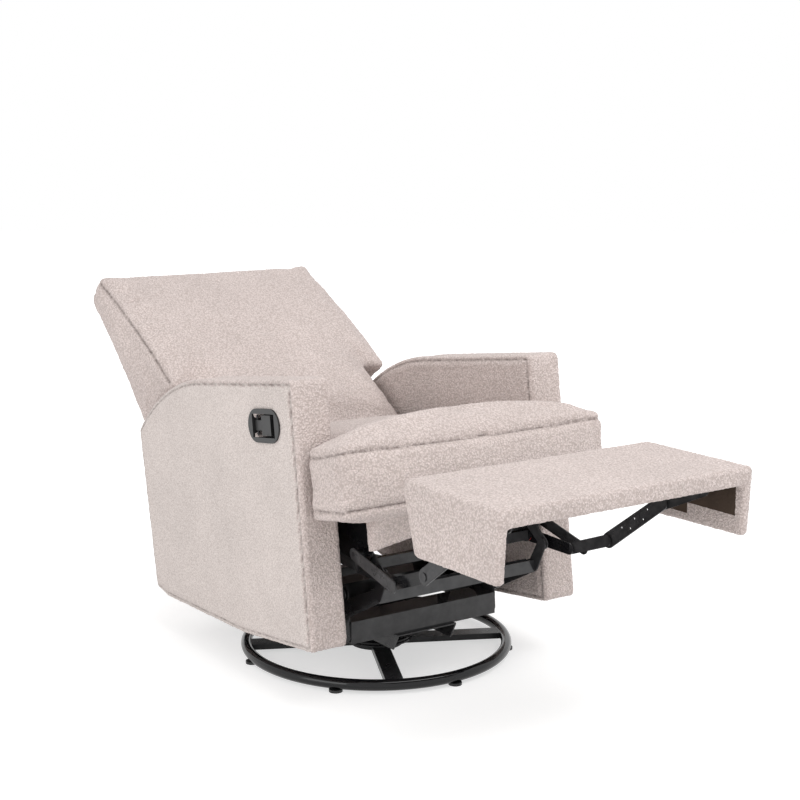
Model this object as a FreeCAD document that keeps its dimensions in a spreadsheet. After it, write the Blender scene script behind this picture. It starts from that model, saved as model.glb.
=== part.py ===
# Swivel glider recliner, shown reclined with its footrest out
# Millimetres, +X to the footrest, +Y to the sitter's left, +Z up
# The origin is the centre of the base ring on the floor, on the swivel axis

import FreeCAD, Part
import math
import os
import re
import Sketcher

os.makedirs("parts", exist_ok=True)
doc = FreeCAD.newDocument("SwivelGliderRecliner")
V = FreeCAD.Vector
LATERAL = V(0, 1, 0)

SIZES = dict(
    # base ring, spokes and floor pads
    ring_radius=304, ring_tube=12.5, floor_pad_radius=15, floor_pad_height=6, floor_pad_count=7,
    floor_pad_turn=-102, spoke_count=4, spoke_turn=-26, spoke_width=40, spoke_height=14,
    hub_radius=62, race_radius=84, race_thick=4, race_gap=3, roller_count=12, roller_long=10,
    roller_circle=70, bolt_radius=9,
    # swivelling glide frame
    pan_front=205, pan_rear=150, pan_half=80, pan_top=99, pan_depth=38, sheet=3,
    front_beam_x=165, front_beam_depth=64, front_beam_rise=50, rear_beam_x=-110, rear_beam_depth=56,
    rear_beam_rise=38, glide_pivot_x=172, glide_pivot_gap=264, glide_pivot_z=208, glide_link=89.9,
    front_glide_angle=-135.77, rear_glide_angle=-89.08, tower_eye=15,
    # layers of the linkage, from the middle of the chair outwards
    tower_layer=198, layer_pitch=6, plate=3, pin_radius=5, running=0.08, head_radius=9,
    eye_radius=13, face_gap=0.3,
    # carriage, which glides with all that is above it
    carriage_x=295, carriage_z=137.7, carriage_tilt=7.81,
    rail_z=38, rail_half_height=22, rail_rear=-620, rail_bend=-150, rail_nose_x=36, rail_nose_z=100,
    rail_nose_radius=15, cross_rear_x=-560, cross_width=40, stretcher_x=10, stretcher_z=84,
    stretcher_width=30, stretcher_rise=27, arm_bracket_front=-215, arm_bracket_rear=-600,
    arm_bracket_long=60, arm_bracket_rise=36,
    # arms
    arm_inner=263, arm_thick=95, arm_front_height=565, arm_flat=414, arm_rear_top_x=-753,
    arm_shoulder_fall=123, arm_rear_low_x=-727, arm_rear_low_z=59, arm_heel_x=-672, arm_heel_z=40,
    arm_bend_x=-300, arm_bend_z=3, arm_round=12, back_panel_inset=2, back_panel_thick=14,
    back_panel_low=62, back_panel_top=300,
    # release handle in the outer face of the sitter's right arm
    handle_x=-118, handle_drop=96, bezel_long=115, bezel_tall=72, bezel_proud=4, cup_long=98,
    cup_tall=56, cup_deep=24, cup_wall=3, paddle_stem=28, paddle_stem_tall=22, paddle_bar=38,
    paddle_bar_tall=43, paddle_thick=8, paddle_pin=2, finger_room=24,
    # links that carry the seat
    front_seat_low_x=70, front_seat_low_z=150, front_seat_high_x=24, front_seat_high_z=194,
    rear_seat_low_x=-307, rear_seat_low_z=151.5, rear_seat_high_x=-322, rear_seat_high_z=214,
    # seat
    frame_low=232, frame_top=268, frame_front=70, frame_rear=-440, frame_rail=25, seat_rear_half=246,
    spring_count=4, spring_waves=5, spring_wire=1.8, spring_swing=30, spring_rise=4,
    back_pivot_x=-470, back_pivot_z=400, back_eye=16, hinge_plate_y=247.5, back_pin_radius=8,
    seat_rear=-462, seat_waist=-392, seat_ear_rear=13, seat_front=156, seat_rear_width=240,
    seat_width=258, seat_ear_width=338, seat_round=22, seat_low_rear=268.6, seat_low_front=283,
    seat_shoulder_rear=386, seat_shoulder_mid=402, seat_shoulder_front=422,
    seat_rise_rear=30, seat_rise_mid=46, seat_rise_front=52, seat_side_swell=5,
    apron_front=98, apron_half=250, apron_low=203, apron_rise=24, apron_top=268,
    # back
    back_turn=36, back_lean=15.9, back_long=686, back_rear=260, back_low=-60, back_width=256,
    wing_width=326, wing_low_front=214, wing_low_rear=240, wing_rear_low=274, wing_rear_top=292,
    back_crown=16, back_rear_top=650,
    hinge_notch=21, strap_face=243.3, strap_eye=14, strap_long=110,
    # footrest linkage
    tube_half=11, tube_wall=2, journal_radius=8, crank_pivot_x=0, crank_pivot_z=163,
    crank_long=142.4, crank_angle=-8.28, middle_long=120.2, middle_angle=13.23, carrier_long=192.4,
    carrier_angle=28.56, carrier_eye=15, carrier_hole=2.5, upper_long=146, upper_angle=-21.3, upper_layer=252,
    # footrest
    rest_rear=559, rest_front=855, rest_top=554, rest_half=315, rest_pad=26, rest_board=12,
    flap_thick=22, flap_low_front=415, flap_low_rear=410, flap_lean_front=8, flap_lean_rear=39,
    rest_round=10, bracket_front=790, bracket_rear=650, bracket_flange=26,
    # soft solids and steel stay this far apart where they belong to different bodies
    soft_gap=0.6,
)

sheet = doc.addObject("Spreadsheet::Sheet", "Sizes")
for row, (name, size) in enumerate(SIZES.items(), start=1):
    sheet.set(f"A{row}", name)
    sheet.set(f"B{row}", str(size))
    sheet.setAlias(f"B{row}", name)
doc.recompute()


def bind(text):
    """Point each size's name in an expression at its cell."""
    return re.sub(r"[a-z_]+", lambda m: "Sizes." + m.group() if m.group() in SIZES else m.group(), str(text))


def size(text):
    """The value of an expression in millimetres or degrees."""
    return float(sheet.evalExpression(bind(text)))


# Places on the chair

LAYERS = ("tower", "glide_link", "rail", "seat_link", "side_plate", "crank", "middle", "carrier", "bracket")


def layer(name):
    """Expression for the middle of one layer of flat steel, measured from the chair's middle."""
    return f"tower_layer + {LAYERS.index(name)}*layer_pitch"


def level(y="0"):
    """Placement of a piece drawn in the floor's frame."""
    return FreeCAD.Placement(V(0, size(y), 0), FreeCAD.Rotation())


def tilted(y="0"):
    """Placement of a piece drawn in the carriage's frame, which leans back at rest."""
    turn = FreeCAD.Rotation(LATERAL, -size("carriage_tilt"))
    return FreeCAD.Placement(V(size("carriage_x"), size(y), size("carriage_z")), turn)


def floor_x(x, z):
    """World x of a point in the carriage's frame."""
    return f"(carriage_x + ({x})*cos(carriage_tilt) - ({z})*sin(carriage_tilt))"


def floor_z(x, z):
    """World z of a point in the carriage's frame."""
    return f"(carriage_z + ({x})*sin(carriage_tilt) + ({z})*cos(carriage_tilt))"


def along(start, long, angle):
    """Point at the end of a link that leaves start at an angle above +X."""
    return (f"({start[0]} + {long}*cos({angle}))", f"({start[1]} + {long}*sin({angle}))")


GLIDE_FRONT = ("glide_pivot_x", "glide_pivot_z")
GLIDE_REAR = ("(glide_pivot_x - glide_pivot_gap)", "glide_pivot_z")
GLIDE_FRONT_LOW = along(GLIDE_FRONT, "glide_link", "front_glide_angle")
GLIDE_REAR_LOW = along(GLIDE_REAR, "glide_link", "rear_glide_angle")
SEAT_FRONT_LOW = ("front_seat_low_x", "front_seat_low_z")
SEAT_FRONT_HIGH = ("front_seat_high_x", "front_seat_high_z")
SEAT_REAR_LOW = ("rear_seat_low_x", "rear_seat_low_z")
SEAT_REAR_HIGH = ("rear_seat_high_x", "rear_seat_high_z")
CRANK = ("crank_pivot_x", "crank_pivot_z")
LOW_ELBOW = along(CRANK, "crank_long", "crank_angle")
MID_ELBOW = along(LOW_ELBOW, "middle_long", "middle_angle")
CARRIER_END = along(MID_ELBOW, "carrier_long", "carrier_angle")
UPPER_END = along(SEAT_FRONT_HIGH, "upper_long", "upper_angle")
REST_PIVOT = (floor_x(*CARRIER_END), floor_z(*CARRIER_END))
BACK_PIVOT = ("back_pivot_x", "back_pivot_z")


def carriage_frame(point):
    """A point of the floor's frame, given in the carriage's frame."""
    x, z = (f"({point[0]} - carriage_x)", f"({point[1]} - carriage_z)")
    return (f"({x}*cos(carriage_tilt) + {z}*sin(carriage_tilt))",
            f"({z}*cos(carriage_tilt) - {x}*sin(carriage_tilt))")


# Sketch and feature helpers

def new_body(label, placement):
    body = doc.addObject("PartDesign::Body", label)
    body.Label = label
    body.Placement = placement
    return body


def new_sketch(body, role="XZ_Plane"):
    sketch = body.newObject("Sketcher::SketchObject", "Outline")
    plane = next(f for f in body.Origin.OriginFeatures if f.Role == role)
    sketch.AttachmentSupport = (plane, "")
    sketch.MapMode = "FlatFace"
    return sketch


def tie(sketch, kind, geometry, position, text):
    """Constrain one coordinate, or a radius, and bind it to the sheet."""
    if kind == "Radius":
        index = sketch.addConstraint(Sketcher.Constraint("Radius", geometry, size(text)))
    else:
        index = sketch.addConstraint(Sketcher.Constraint(kind, -1, 1, geometry, position, size(text)))
    sketch.setExpression(f"Constraints[{index}]", bind(text))


def place_point(sketch, geometry, position, point):
    tie(sketch, "DistanceX", geometry, position, point[0])
    tie(sketch, "DistanceY", geometry, position, point[1])


def draw_circle(sketch, centre, radius):
    circle = Part.Circle(V(size(centre[0]), size(centre[1]), 0), V(0, 0, 1), size(radius))
    index = sketch.addGeometry(circle)
    place_point(sketch, index, 3, centre)
    tie(sketch, "Radius", index, 0, radius)


def draw_belt(sketch, eyes):
    """Outline round two or more eyes, given anticlockwise: arcs joined by tangent lines."""
    places = [(V(size(x), size(z), 0), size(r)) for x, z, r in eyes]
    count = len(places)
    lines = []
    for i, (centre, radius) in enumerate(places):
        following, next_radius = places[(i + 1) % count]
        run = following - centre
        skew = math.asin((radius - next_radius) / run.Length)
        normal = math.atan2(run.y, run.x) - math.pi / 2 + skew
        out = V(math.cos(normal), math.sin(normal), 0)
        lines.append((centre + out * radius, following + out * next_radius))
    arcs = []
    for i, (centre, radius) in enumerate(places):
        first = lines[i - 1][1] - centre
        last = lines[i][0] - centre
        begin = math.atan2(first.y, first.x)
        end = math.atan2(last.y, last.x)
        if end < begin:
            end += 2 * math.pi
        circle = Part.Circle(centre, V(0, 0, 1), radius)
        arcs.append(sketch.addGeometry(Part.ArcOfCircle(circle, begin, end)))
    sides = [sketch.addGeometry(Part.LineSegment(*ends)) for ends in lines]
    for i in range(count):
        sketch.addConstraint(Sketcher.Constraint("Tangent", arcs[i], 2, sides[i], 1))
        sketch.addConstraint(Sketcher.Constraint("Tangent", sides[i], 2, arcs[(i + 1) % count], 1))
    for arc, (x, z, radius) in zip(arcs, eyes):
        place_point(sketch, arc, 3, (x, z))
        tie(sketch, "Radius", arc, 0, radius)


def draw_polygon(sketch, points):
    places = [V(size(x), size(z), 0) for x, z in points]
    count = len(places)
    sides = [sketch.addGeometry(Part.LineSegment(places[i], places[(i + 1) % count])) for i in range(count)]
    for i in range(count):
        sketch.addConstraint(Sketcher.Constraint("Coincident", sides[i], 2, sides[(i + 1) % count], 1))
        place_point(sketch, sides[i], 1, points[i])
    return sides


def pad(body, sketch, length):
    feature = body.newObject("PartDesign::Pad", "Pad")
    feature.Profile = sketch
    feature.SideType = "Symmetric"
    feature.setExpression("Length", bind(length))
    return feature


def pad_belt(body, eyes, holes=(), length="plate"):
    """Flat steel with rounded eyes, cut through at the holes."""
    sketch = new_sketch(body)
    draw_belt(sketch, eyes)
    for centre, radius in holes:
        draw_circle(sketch, centre, radius)
    return pad(body, sketch, length)


def pad_polygon(body, points, length="plate", holes=()):
    sketch = new_sketch(body)
    draw_polygon(sketch, points)
    for centre, radius in holes:
        draw_circle(sketch, centre, radius)
    return pad(body, sketch, length)


def add_stud(body, centre, radius, start, long, side):
    """Round stud on a plate, from start outwards (side +1) or inwards (side -1)."""
    stud = body.newObject("PartDesign::AdditiveCylinder", "Stud")
    stud.setExpression("Radius", bind(radius))
    stud.setExpression("Height", bind(long))
    stud.Placement = FreeCAD.Placement(V(0, 0, 0), FreeCAD.Rotation(V(1, 0, 0), -90 * side))
    stud.setExpression("Placement.Base.x", bind(centre[0]))
    stud.setExpression("Placement.Base.y", bind(f"({start})*{side}"))
    stud.setExpression("Placement.Base.z", bind(centre[1]))


def add_rivet(body, centre, side):
    """Headed pin from this plate through the plate of the next layer on that side."""
    face = "plate/2"
    gap = "(layer_pitch - plate)"
    add_stud(body, centre, "head_radius", face, f"{gap} - face_gap", side)
    add_stud(body, centre, "pin_radius", face, f"{gap} + plate + 2*face_gap", side)
    add_stud(body, centre, "head_radius", f"{face} + {gap} + plate + face_gap", f"{gap} - 3*face_gap", side)


def eye(point, radius="eye_radius"):
    return (point[0], point[1], radius)


def bearing(point, radius="pin_radius"):
    return (point, f"{radius} + running")


def box(label, long, wide, tall, corner, placement=None):
    """Part box from its corner, all bound to the sheet."""
    piece = doc.addObject("Part::Box", label)
    for name, text in zip(("Length", "Width", "Height"), (long, wide, tall)):
        piece.setExpression(name, bind(text))
    if placement is None:
        for axis, text in zip("xyz", corner):
            piece.setExpression(f"Placement.Base.{axis}", bind(text))
    else:
        offset = FreeCAD.Placement(V(*(size(text) for text in corner)), FreeCAD.Rotation())
        piece.Placement = placement.multiply(offset)
    return piece


def cylinder(label, radius, tall, centre, axis="z", placement=None):
    """Part cylinder from the centre of its first face."""
    piece = doc.addObject("Part::Cylinder", label)
    piece.setExpression("Radius", bind(radius))
    piece.setExpression("Height", bind(tall))
    turn = {"z": FreeCAD.Rotation(), "y": FreeCAD.Rotation(V(1, 0, 0), -90),
            "x": FreeCAD.Rotation(V(0, 1, 0), 90)}[axis]
    local = FreeCAD.Placement(V(*(size(text) for text in centre)), turn)
    piece.Placement = local if placement is None else placement.multiply(local)
    return piece


def fuse(label, pieces):
    result = doc.addObject("Part::MultiFuse", label)
    result.Shapes = pieces
    result.Refine = True
    return result


def cut(label, base, tool):
    result = doc.addObject("Part::Cut", label)
    result.Base = base
    result.Tool = tool
    result.Refine = False
    return result


def group(label, pieces):
    """Several separate solids under one name."""
    result = doc.addObject("Part::Compound", label)
    result.Links = pieces
    return result


def feature(label, shape, placement=None):
    piece = doc.addObject("Part::Feature", label)
    piece.Shape = shape
    if placement is not None:
        piece.Placement = placement
    return piece


NODES = []


def keep(piece, label):
    piece.Label = label
    NODES.append(piece)
    return piece


SIDES = (("left", 1), ("right", -1))

# Base: tube ring on floor pads, four flat spokes and the lower bearing race

RING_Z = "(floor_pad_height + ring_tube)"
ring = doc.addObject("Part::Torus", "base_ring")
ring.setExpression("Radius1", bind("ring_radius"))
ring.setExpression("Radius2", bind("ring_tube"))
ring.setExpression("Placement.Base.z", bind(RING_Z))
keep(ring, "base_ring")

SPOKE_LOW = f"({RING_Z} - spoke_height/2)"
SPOKE_TOP = f"({RING_Z} + spoke_height/2)"
bars = []
for i in range(int(size("spoke_count"))):
    bar = box(f"SpokeBar{i}", "ring_radius", "spoke_width", "spoke_height", ("0", "0", "0"))
    turn = FreeCAD.Rotation(V(0, 0, 1), size("spoke_turn") + i * 360 / size("spoke_count"))
    start = turn.multVec(V(0, -size("spoke_width") / 2, 0)) + V(0, 0, size(SPOKE_LOW))
    for axis in "xyz":
        bar.setExpression(f"Placement.Base.{axis}", None)
    bar.Placement = FreeCAD.Placement(start, turn)
    bars.append(bar)
hub = cylinder("HubDisc", "hub_radius", "spoke_height", ("0", "0", SPOKE_LOW))
pads = []
for i in range(int(size("floor_pad_count"))):
    angle = math.radians(size("floor_pad_turn") + i * 360 / size("floor_pad_count"))
    place = (str(size("ring_radius") * math.cos(angle)), str(size("ring_radius") * math.sin(angle)), "0")
    pads.append(cylinder(f"Pad{i}", "floor_pad_radius", "floor_pad_height", place))
keep(group("floor_pads", pads), "floor_pads")
keep(cut("base_spokes", fuse("SpokeStar", bars + [hub]), ring), "base_spokes")

keep(cylinder("lower_race", "race_radius", "race_thick", ("0", "0", SPOKE_TOP)), "lower_race")
ROLLER_Z = f"({SPOKE_TOP} + race_thick + race_gap/2)"
rollers = []
for i in range(int(size("roller_count"))):
    roller = cylinder(f"Roller{i}", "race_gap/2 - face_gap/10", "roller_long", ("0", "0", "0"), "x")
    spin = FreeCAD.Rotation(V(0, 0, 1), i * 360 / size("roller_count"))
    start = spin.multVec(V(size("roller_circle - roller_long/2"), 0, 0)) + V(0, 0, size(ROLLER_Z))
    roller.Placement = FreeCAD.Placement(start, spin.multiply(FreeCAD.Rotation(V(0, 1, 0), 90)))
    rollers.append(roller)
keep(group("bearing_rollers", rollers), "bearing_rollers")

# Swivelling glide frame: upper race, central pan, two cross beams and a tower plate on each side

UPPER_RACE_Z = f"({SPOKE_TOP} + race_thick + race_gap)"
race = cylinder("UpperRace", "race_radius", "race_thick", ("0", "0", UPPER_RACE_Z))
post = cylinder("SwivelPost", "hub_radius - 4*sheet", f"pan_top - sheet - {UPPER_RACE_Z}",
                ("0", "0", UPPER_RACE_Z))
keep(fuse("swivel_post", [race, post]), "swivel_post")

pan_body = new_body("swivel_pan", level())
PAN = [("-pan_rear", "pan_top - sheet"), ("pan_front", "pan_top - sheet"), ("pan_front", "pan_top"),
       ("-pan_rear", "pan_top")]
pad_polygon(pan_body, PAN, "2*pan_half")
for side in (1, -1):
    sketch = new_sketch(pan_body)
    draw_polygon(sketch, [
        ("-pan_rear", "pan_top - sheet"), ("-pan_rear + pan_depth/2", "pan_top - pan_depth"),
        ("pan_front - pan_depth/2", "pan_top - pan_depth"), ("pan_front", "pan_top - sheet")])
    wall = pan_body.newObject("PartDesign::Pad", "Wall")
    wall.Profile = sketch
    wall.SideType = "Two sides"
    near, far = ("pan_half", "sheet - pan_half") if side > 0 else ("sheet - pan_half", "pan_half")
    wall.setExpression("Length", bind(near))
    wall.setExpression("Length2", bind(far))
keep(pan_body, "swivel_pan")

BEAM_HALF = "(tower_layer - plate/2)"


def beam(label, middle, depth, rise):
    """Folded channel across the glide frame, open below, with turned-in lips."""
    body = new_body(label, level())
    front, rear = f"({middle} + {depth}/2)", f"({middle} - {depth}/2)"
    top = f"(pan_top + {rise})"
    lip = "4*sheet"
    pad_polygon(body, [
        (rear, "pan_top"), (f"{rear} + {lip}", "pan_top"), (f"{rear} + {lip}", "pan_top + sheet"),
        (f"{rear} + sheet", "pan_top + sheet"), (f"{rear} + sheet", f"{top} - sheet"),
        (f"{front} - sheet", f"{top} - sheet"), (f"{front} - sheet", "pan_top + sheet"),
        (f"{front} - {lip}", "pan_top + sheet"), (f"{front} - {lip}", "pan_top"), (front, "pan_top"),
        (front, top), (rear, top)], f"2*{BEAM_HALF}")
    keep(body, label)


beam("front_glide_beam", "front_beam_x", "front_beam_depth", "front_beam_rise")
beam("rear_glide_beam", "rear_beam_x", "rear_beam_depth", "rear_beam_rise")

FOOT_Z = "(pan_top + tower_eye)"
for name, side in SIDES:
    tower = new_body(f"glide_tower_{name}", level(f"{side}*({layer('tower')})"))
    pad_belt(tower, [("rear_beam_x", FOOT_Z, "tower_eye"), ("front_beam_x", FOOT_Z, "tower_eye"),
                     ("front_beam_x", f"{FOOT_Z} + tower_eye", "tower_eye"),
                     ("rear_beam_x", f"{FOOT_Z} + tower_eye", "tower_eye")])
    for pivot, foot in ((GLIDE_FRONT, "front_beam_x"), (GLIDE_REAR, "rear_beam_x")):
        pad_belt(tower, [(f"{foot} - tower_eye", FOOT_Z, "tower_eye"),
                         (f"{foot} + tower_eye", FOOT_Z, "tower_eye"),
                         eye(pivot, "tower_eye")])
        add_rivet(tower, pivot, side)
    keep(tower, f"glide_tower_{name}")

# Glide links hang from the towers and converge downwards

for name, side in SIDES:
    link = new_body(f"front_glide_link_{name}", level(f"{side}*({layer('glide_link')})"))
    pad_belt(link, [eye(GLIDE_FRONT_LOW), eye(GLIDE_FRONT)],
             [bearing(GLIDE_FRONT_LOW), bearing(GLIDE_FRONT)])
    keep(link, f"front_glide_link_{name}")
    link = new_body(f"rear_glide_link_{name}", level(f"{side}*({layer('glide_link')})"))
    pad_belt(link, [eye(GLIDE_REAR_LOW), eye(GLIDE_REAR)], [bearing(GLIDE_REAR)])
    add_stud(link, GLIDE_REAR_LOW, "head_radius", "plate/2", "layer_pitch - plate - face_gap", side)
    keep(link, f"rear_glide_link_{name}")

# Carriage rails, cross members and arm brackets

RAIL_LOW = carriage_frame(GLIDE_FRONT_LOW)
for name, side in SIDES:
    rail = new_body(f"carriage_rail_{name}", tilted(f"{side}*({layer('rail')})"))
    pad_belt(rail, [("rail_rear", "rail_z", "rail_half_height"),
                    ("rail_bend", "rail_z", "rail_half_height")])
    pad_belt(rail, [("rail_bend", "rail_z", "rail_half_height"),
                    ("rail_nose_x", "rail_nose_z", "rail_nose_radius")])
    pad_belt(rail, [("rail_nose_x", "rail_nose_z", "rail_nose_radius"), eye(SEAT_FRONT_LOW)])
    pad_belt(rail, [("rear_seat_low_x - rail_half_height", "rail_z", "rail_half_height"),
                    ("rear_seat_low_x + rail_half_height", "rail_z", "rail_half_height"),
                    eye(SEAT_REAR_LOW)])
    add_rivet(rail, SEAT_FRONT_LOW, side)
    add_rivet(rail, SEAT_REAR_LOW, side)
    add_rivet(rail, RAIL_LOW, -side)
    keep(rail, f"carriage_rail_{name}")

RAIL_INNER = f"({layer('rail')} - plate/2)"
RAIL_OUTER = f"({layer('rail')} + plate/2)"
rear_cross = new_body("rear_cross_member", tilted())
pad_polygon(rear_cross, [
    ("cross_rear_x", "rail_z - rail_half_height"), ("cross_rear_x + sheet", "rail_z - rail_half_height"),
    ("cross_rear_x + sheet", "rail_z + rail_half_height - sheet"),
    ("cross_rear_x + cross_width", "rail_z + rail_half_height - sheet"),
    ("cross_rear_x + cross_width", "rail_z + rail_half_height"),
    ("cross_rear_x", "rail_z + rail_half_height")],
    f"2*{RAIL_INNER}")
keep(rear_cross, "rear_cross_member")

stretcher = new_body("front_stretcher", tilted())
pad_polygon(stretcher, [
    ("stretcher_x", "stretcher_z"), ("stretcher_x + stretcher_width", "stretcher_z"),
    ("stretcher_x + stretcher_width", "stretcher_z + stretcher_rise"),
    ("stretcher_x + stretcher_width - sheet", "stretcher_z + stretcher_rise"),
    ("stretcher_x + stretcher_width - sheet", "stretcher_z + sheet"),
    ("stretcher_x + sheet", "stretcher_z + sheet"), ("stretcher_x + sheet", "stretcher_z + stretcher_rise"),
    ("stretcher_x", "stretcher_z + stretcher_rise")], f"2*{RAIL_INNER}")
keep(stretcher, "front_stretcher")

BRACKET_LOW = "(rail_z - arm_bracket_rise/2)"
for name, side in SIDES:
    brackets = []
    inner = RAIL_OUTER if side > 0 else "-arm_inner"
    web_y = RAIL_OUTER if side > 0 else f"-{RAIL_OUTER} - sheet"
    lug_y = "arm_inner - sheet" if side > 0 else "-arm_inner"
    for start in ("arm_bracket_front", "arm_bracket_rear"):
        flange = box("Flange", "arm_bracket_long", f"arm_inner - {RAIL_OUTER}", "sheet",
                     (start, inner, BRACKET_LOW), tilted())
        web = box("Web", "arm_bracket_long", "sheet", "arm_bracket_rise",
                  (start, web_y, BRACKET_LOW), tilted())
        lug = box("Lug", "arm_bracket_long", "sheet", "arm_bracket_rise",
                  (start, lug_y, BRACKET_LOW), tilted())
        brackets.append(fuse("ArmBracket", [flange, web, lug]))
    keep(group(f"arm_brackets_{name}", brackets), f"arm_brackets_{name}")

# Arms: upholstered boxes with a rounded rear shoulder

ARM_MIDDLE = "(arm_inner + arm_thick/2)"
SHOULDER_RUN = "(arm_rear_top_x + arm_flat)"
ARM_REAR_TOP_Z = "(arm_front_height - arm_shoulder_fall)"
ARM_SHOULDER = f"({SHOULDER_RUN}*{SHOULDER_RUN}/(2*arm_shoulder_fall) + arm_shoulder_fall/2)"


def arm(label, side):
    body = new_body(label, tilted(f"{side}*{ARM_MIDDLE}"))
    sketch = new_sketch(body)
    flat = ("-arm_flat", "arm_front_height")
    rear_top = ("arm_rear_top_x", ARM_REAR_TOP_Z)
    corners = [("arm_rear_low_x", "arm_rear_low_z"), ("arm_heel_x", "arm_heel_z"),
               ("arm_bend_x", "arm_bend_z"), ("0", "0"), ("0", "arm_front_height"), flat]
    places = [V(size(x), size(z), 0) for x, z in corners]
    end = V(size(rear_top[0]), size(rear_top[1]), 0)
    lines = [sketch.addGeometry(Part.LineSegment(end, places[0]))]
    for first, second in zip(places, places[1:]):
        lines.append(sketch.addGeometry(Part.LineSegment(first, second)))
    radius = size(ARM_SHOULDER)
    centre = places[-1] - V(0, radius, 0)
    fall = end - centre
    circle = Part.Circle(centre, V(0, 0, 1), radius)
    arc = sketch.addGeometry(Part.ArcOfCircle(circle, math.pi / 2, math.atan2(fall.y, fall.x)))
    for first, second in zip(lines, lines[1:]):
        sketch.addConstraint(Sketcher.Constraint("Coincident", first, 2, second, 1))
    for line, point in zip(lines[1:], corners[:-1]):
        place_point(sketch, line, 1, point)
    place_point(sketch, lines[-1], 2, flat)
    sketch.addConstraint(Sketcher.Constraint("Coincident", lines[-1], 2, arc, 1))
    sketch.addConstraint(Sketcher.Constraint("Coincident", lines[0], 1, arc, 2))
    tie(sketch, "DistanceX", arc, 3, flat[0])
    tie(sketch, "DistanceX", lines[0], 1, rear_top[0])
    tie(sketch, "Radius", arc, 0, ARM_SHOULDER)
    block = pad(body, sketch, "arm_thick")
    block.Refine = False
    doc.recompute()
    rims = []
    for i, edge in enumerate(block.Shape.Edges):
        first, last = edge.Vertexes[0], edge.Vertexes[-1]
        if abs(first.Y - last.Y) < 1:
            rims.append(f"Edge{i + 1}")
    rounded = body.newObject("PartDesign::Fillet", "Rounded")
    rounded.Base = (block, rims)
    rounded.Refine = False
    rounded.setExpression("Radius", bind("arm_round"))
    return body


HANDLE_Z = "(arm_front_height - handle_drop)"
keep(arm("arm_left", 1), "arm_left")
right_arm = arm("arm_right", -1)
cup_room = right_arm.newObject("PartDesign::SubtractiveBox", "CupRoom")
cup_room.Refine = False
for name, text in (("Length", "cup_long"), ("Width", "cup_deep + arm_round"), ("Height", "cup_tall")):
    cup_room.setExpression(name, bind(text))
cup_corner = ("handle_x - cup_long/2", "-arm_thick/2 - arm_round", f"{HANDLE_Z} - cup_tall/2")
for axis, text in zip("xyz", cup_corner):
    cup_room.setExpression(f"Placement.Base.{axis}", bind(text))
keep(right_arm, "arm_right")


def arm_rear_edge(z):
    rise = f"(({z}) - arm_rear_low_z)/({ARM_REAR_TOP_Z} - arm_rear_low_z)"
    return f"(arm_rear_low_x + (arm_rear_top_x - arm_rear_low_x)*{rise})"


panel = new_body("rear_lower_panel", tilted())
low_x = f"{arm_rear_edge('back_panel_low')} + back_panel_inset"
top_x = f"{arm_rear_edge('back_panel_top')} + back_panel_inset"
pad_polygon(panel, [(low_x, "back_panel_low"), (f"{low_x} + back_panel_thick", "back_panel_low"),
                    (f"{top_x} + back_panel_thick", "back_panel_top"), (top_x, "back_panel_top")],
            "2*arm_inner")
keep(panel, "rear_lower_panel")

# Release handle: bezel and cup, a hinge pin, and the paddle that is pulled outwards

OUTER = "(-arm_inner - arm_thick)"
bezel_rim = new_body("BezelRim", tilted(f"{OUTER} - bezel_proud/2"))
HALF = "(bezel_tall/2)"
pad_belt(bezel_rim, [(f"handle_x - bezel_long/2 + {HALF}*0.8", HANDLE_Z, HALF),
                     (f"handle_x + bezel_long/2 - {HALF}*0.8", HANDLE_Z, HALF)], (), "bezel_proud")
CUP_LOW = f"({HANDLE_Z} - cup_tall/2)"
cup = box("CupBlock", "cup_long", "cup_deep", "cup_tall", ("handle_x - cup_long/2", OUTER, CUP_LOW),
          tilted())
hollow = box("CupHollow", "cup_long - 2*cup_wall", "cup_deep - cup_wall + 2*bezel_proud",
             "cup_tall - 2*cup_wall",
             ("handle_x - cup_long/2 + cup_wall", f"{OUTER} - 2*bezel_proud", f"{CUP_LOW} + cup_wall"),
             tilted())
keep(cut("handle_bezel", fuse("BezelBlock", [bezel_rim, cup]), hollow), "handle_bezel")

PADDLE_REAR = "(handle_x - cup_long/2 + cup_wall + 2)"
PIVOT_X = f"({PADDLE_REAR} + paddle_thick/2)"
PADDLE_Y = f"({OUTER} + 2)"
PIN_Y = f"{PADDLE_Y} + paddle_thick/2"
hinge_pin = cylinder("handle_pin", "paddle_pin", "cup_tall - 2*cup_wall",
                     (PIVOT_X, PIN_Y, f"{CUP_LOW} + cup_wall"), "z", tilted())
keep(hinge_pin, "handle_pin")
stem = box("PaddleStem", "paddle_stem", "paddle_thick", "paddle_stem_tall",
           (PADDLE_REAR, PADDLE_Y, f"{HANDLE_Z} - paddle_stem_tall/2"), tilted())
bar = box("PaddleBar", "paddle_bar", "paddle_thick", "paddle_bar_tall",
          (f"{PADDLE_REAR} + paddle_stem - 1", PADDLE_Y, f"{HANDLE_Z} - paddle_bar_tall/2"), tilted())
bore = cylinder("PaddleBore", "paddle_pin + running", "paddle_stem_tall + 2",
                (PIVOT_X, PIN_Y, f"{HANDLE_Z} - paddle_stem_tall/2 - 1"), "z", tilted())
keep(cut("release_paddle", fuse("PaddleBlank", [stem, bar]), bore), "release_paddle")

# Links that raise and tip the seat as the back reclines

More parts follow.
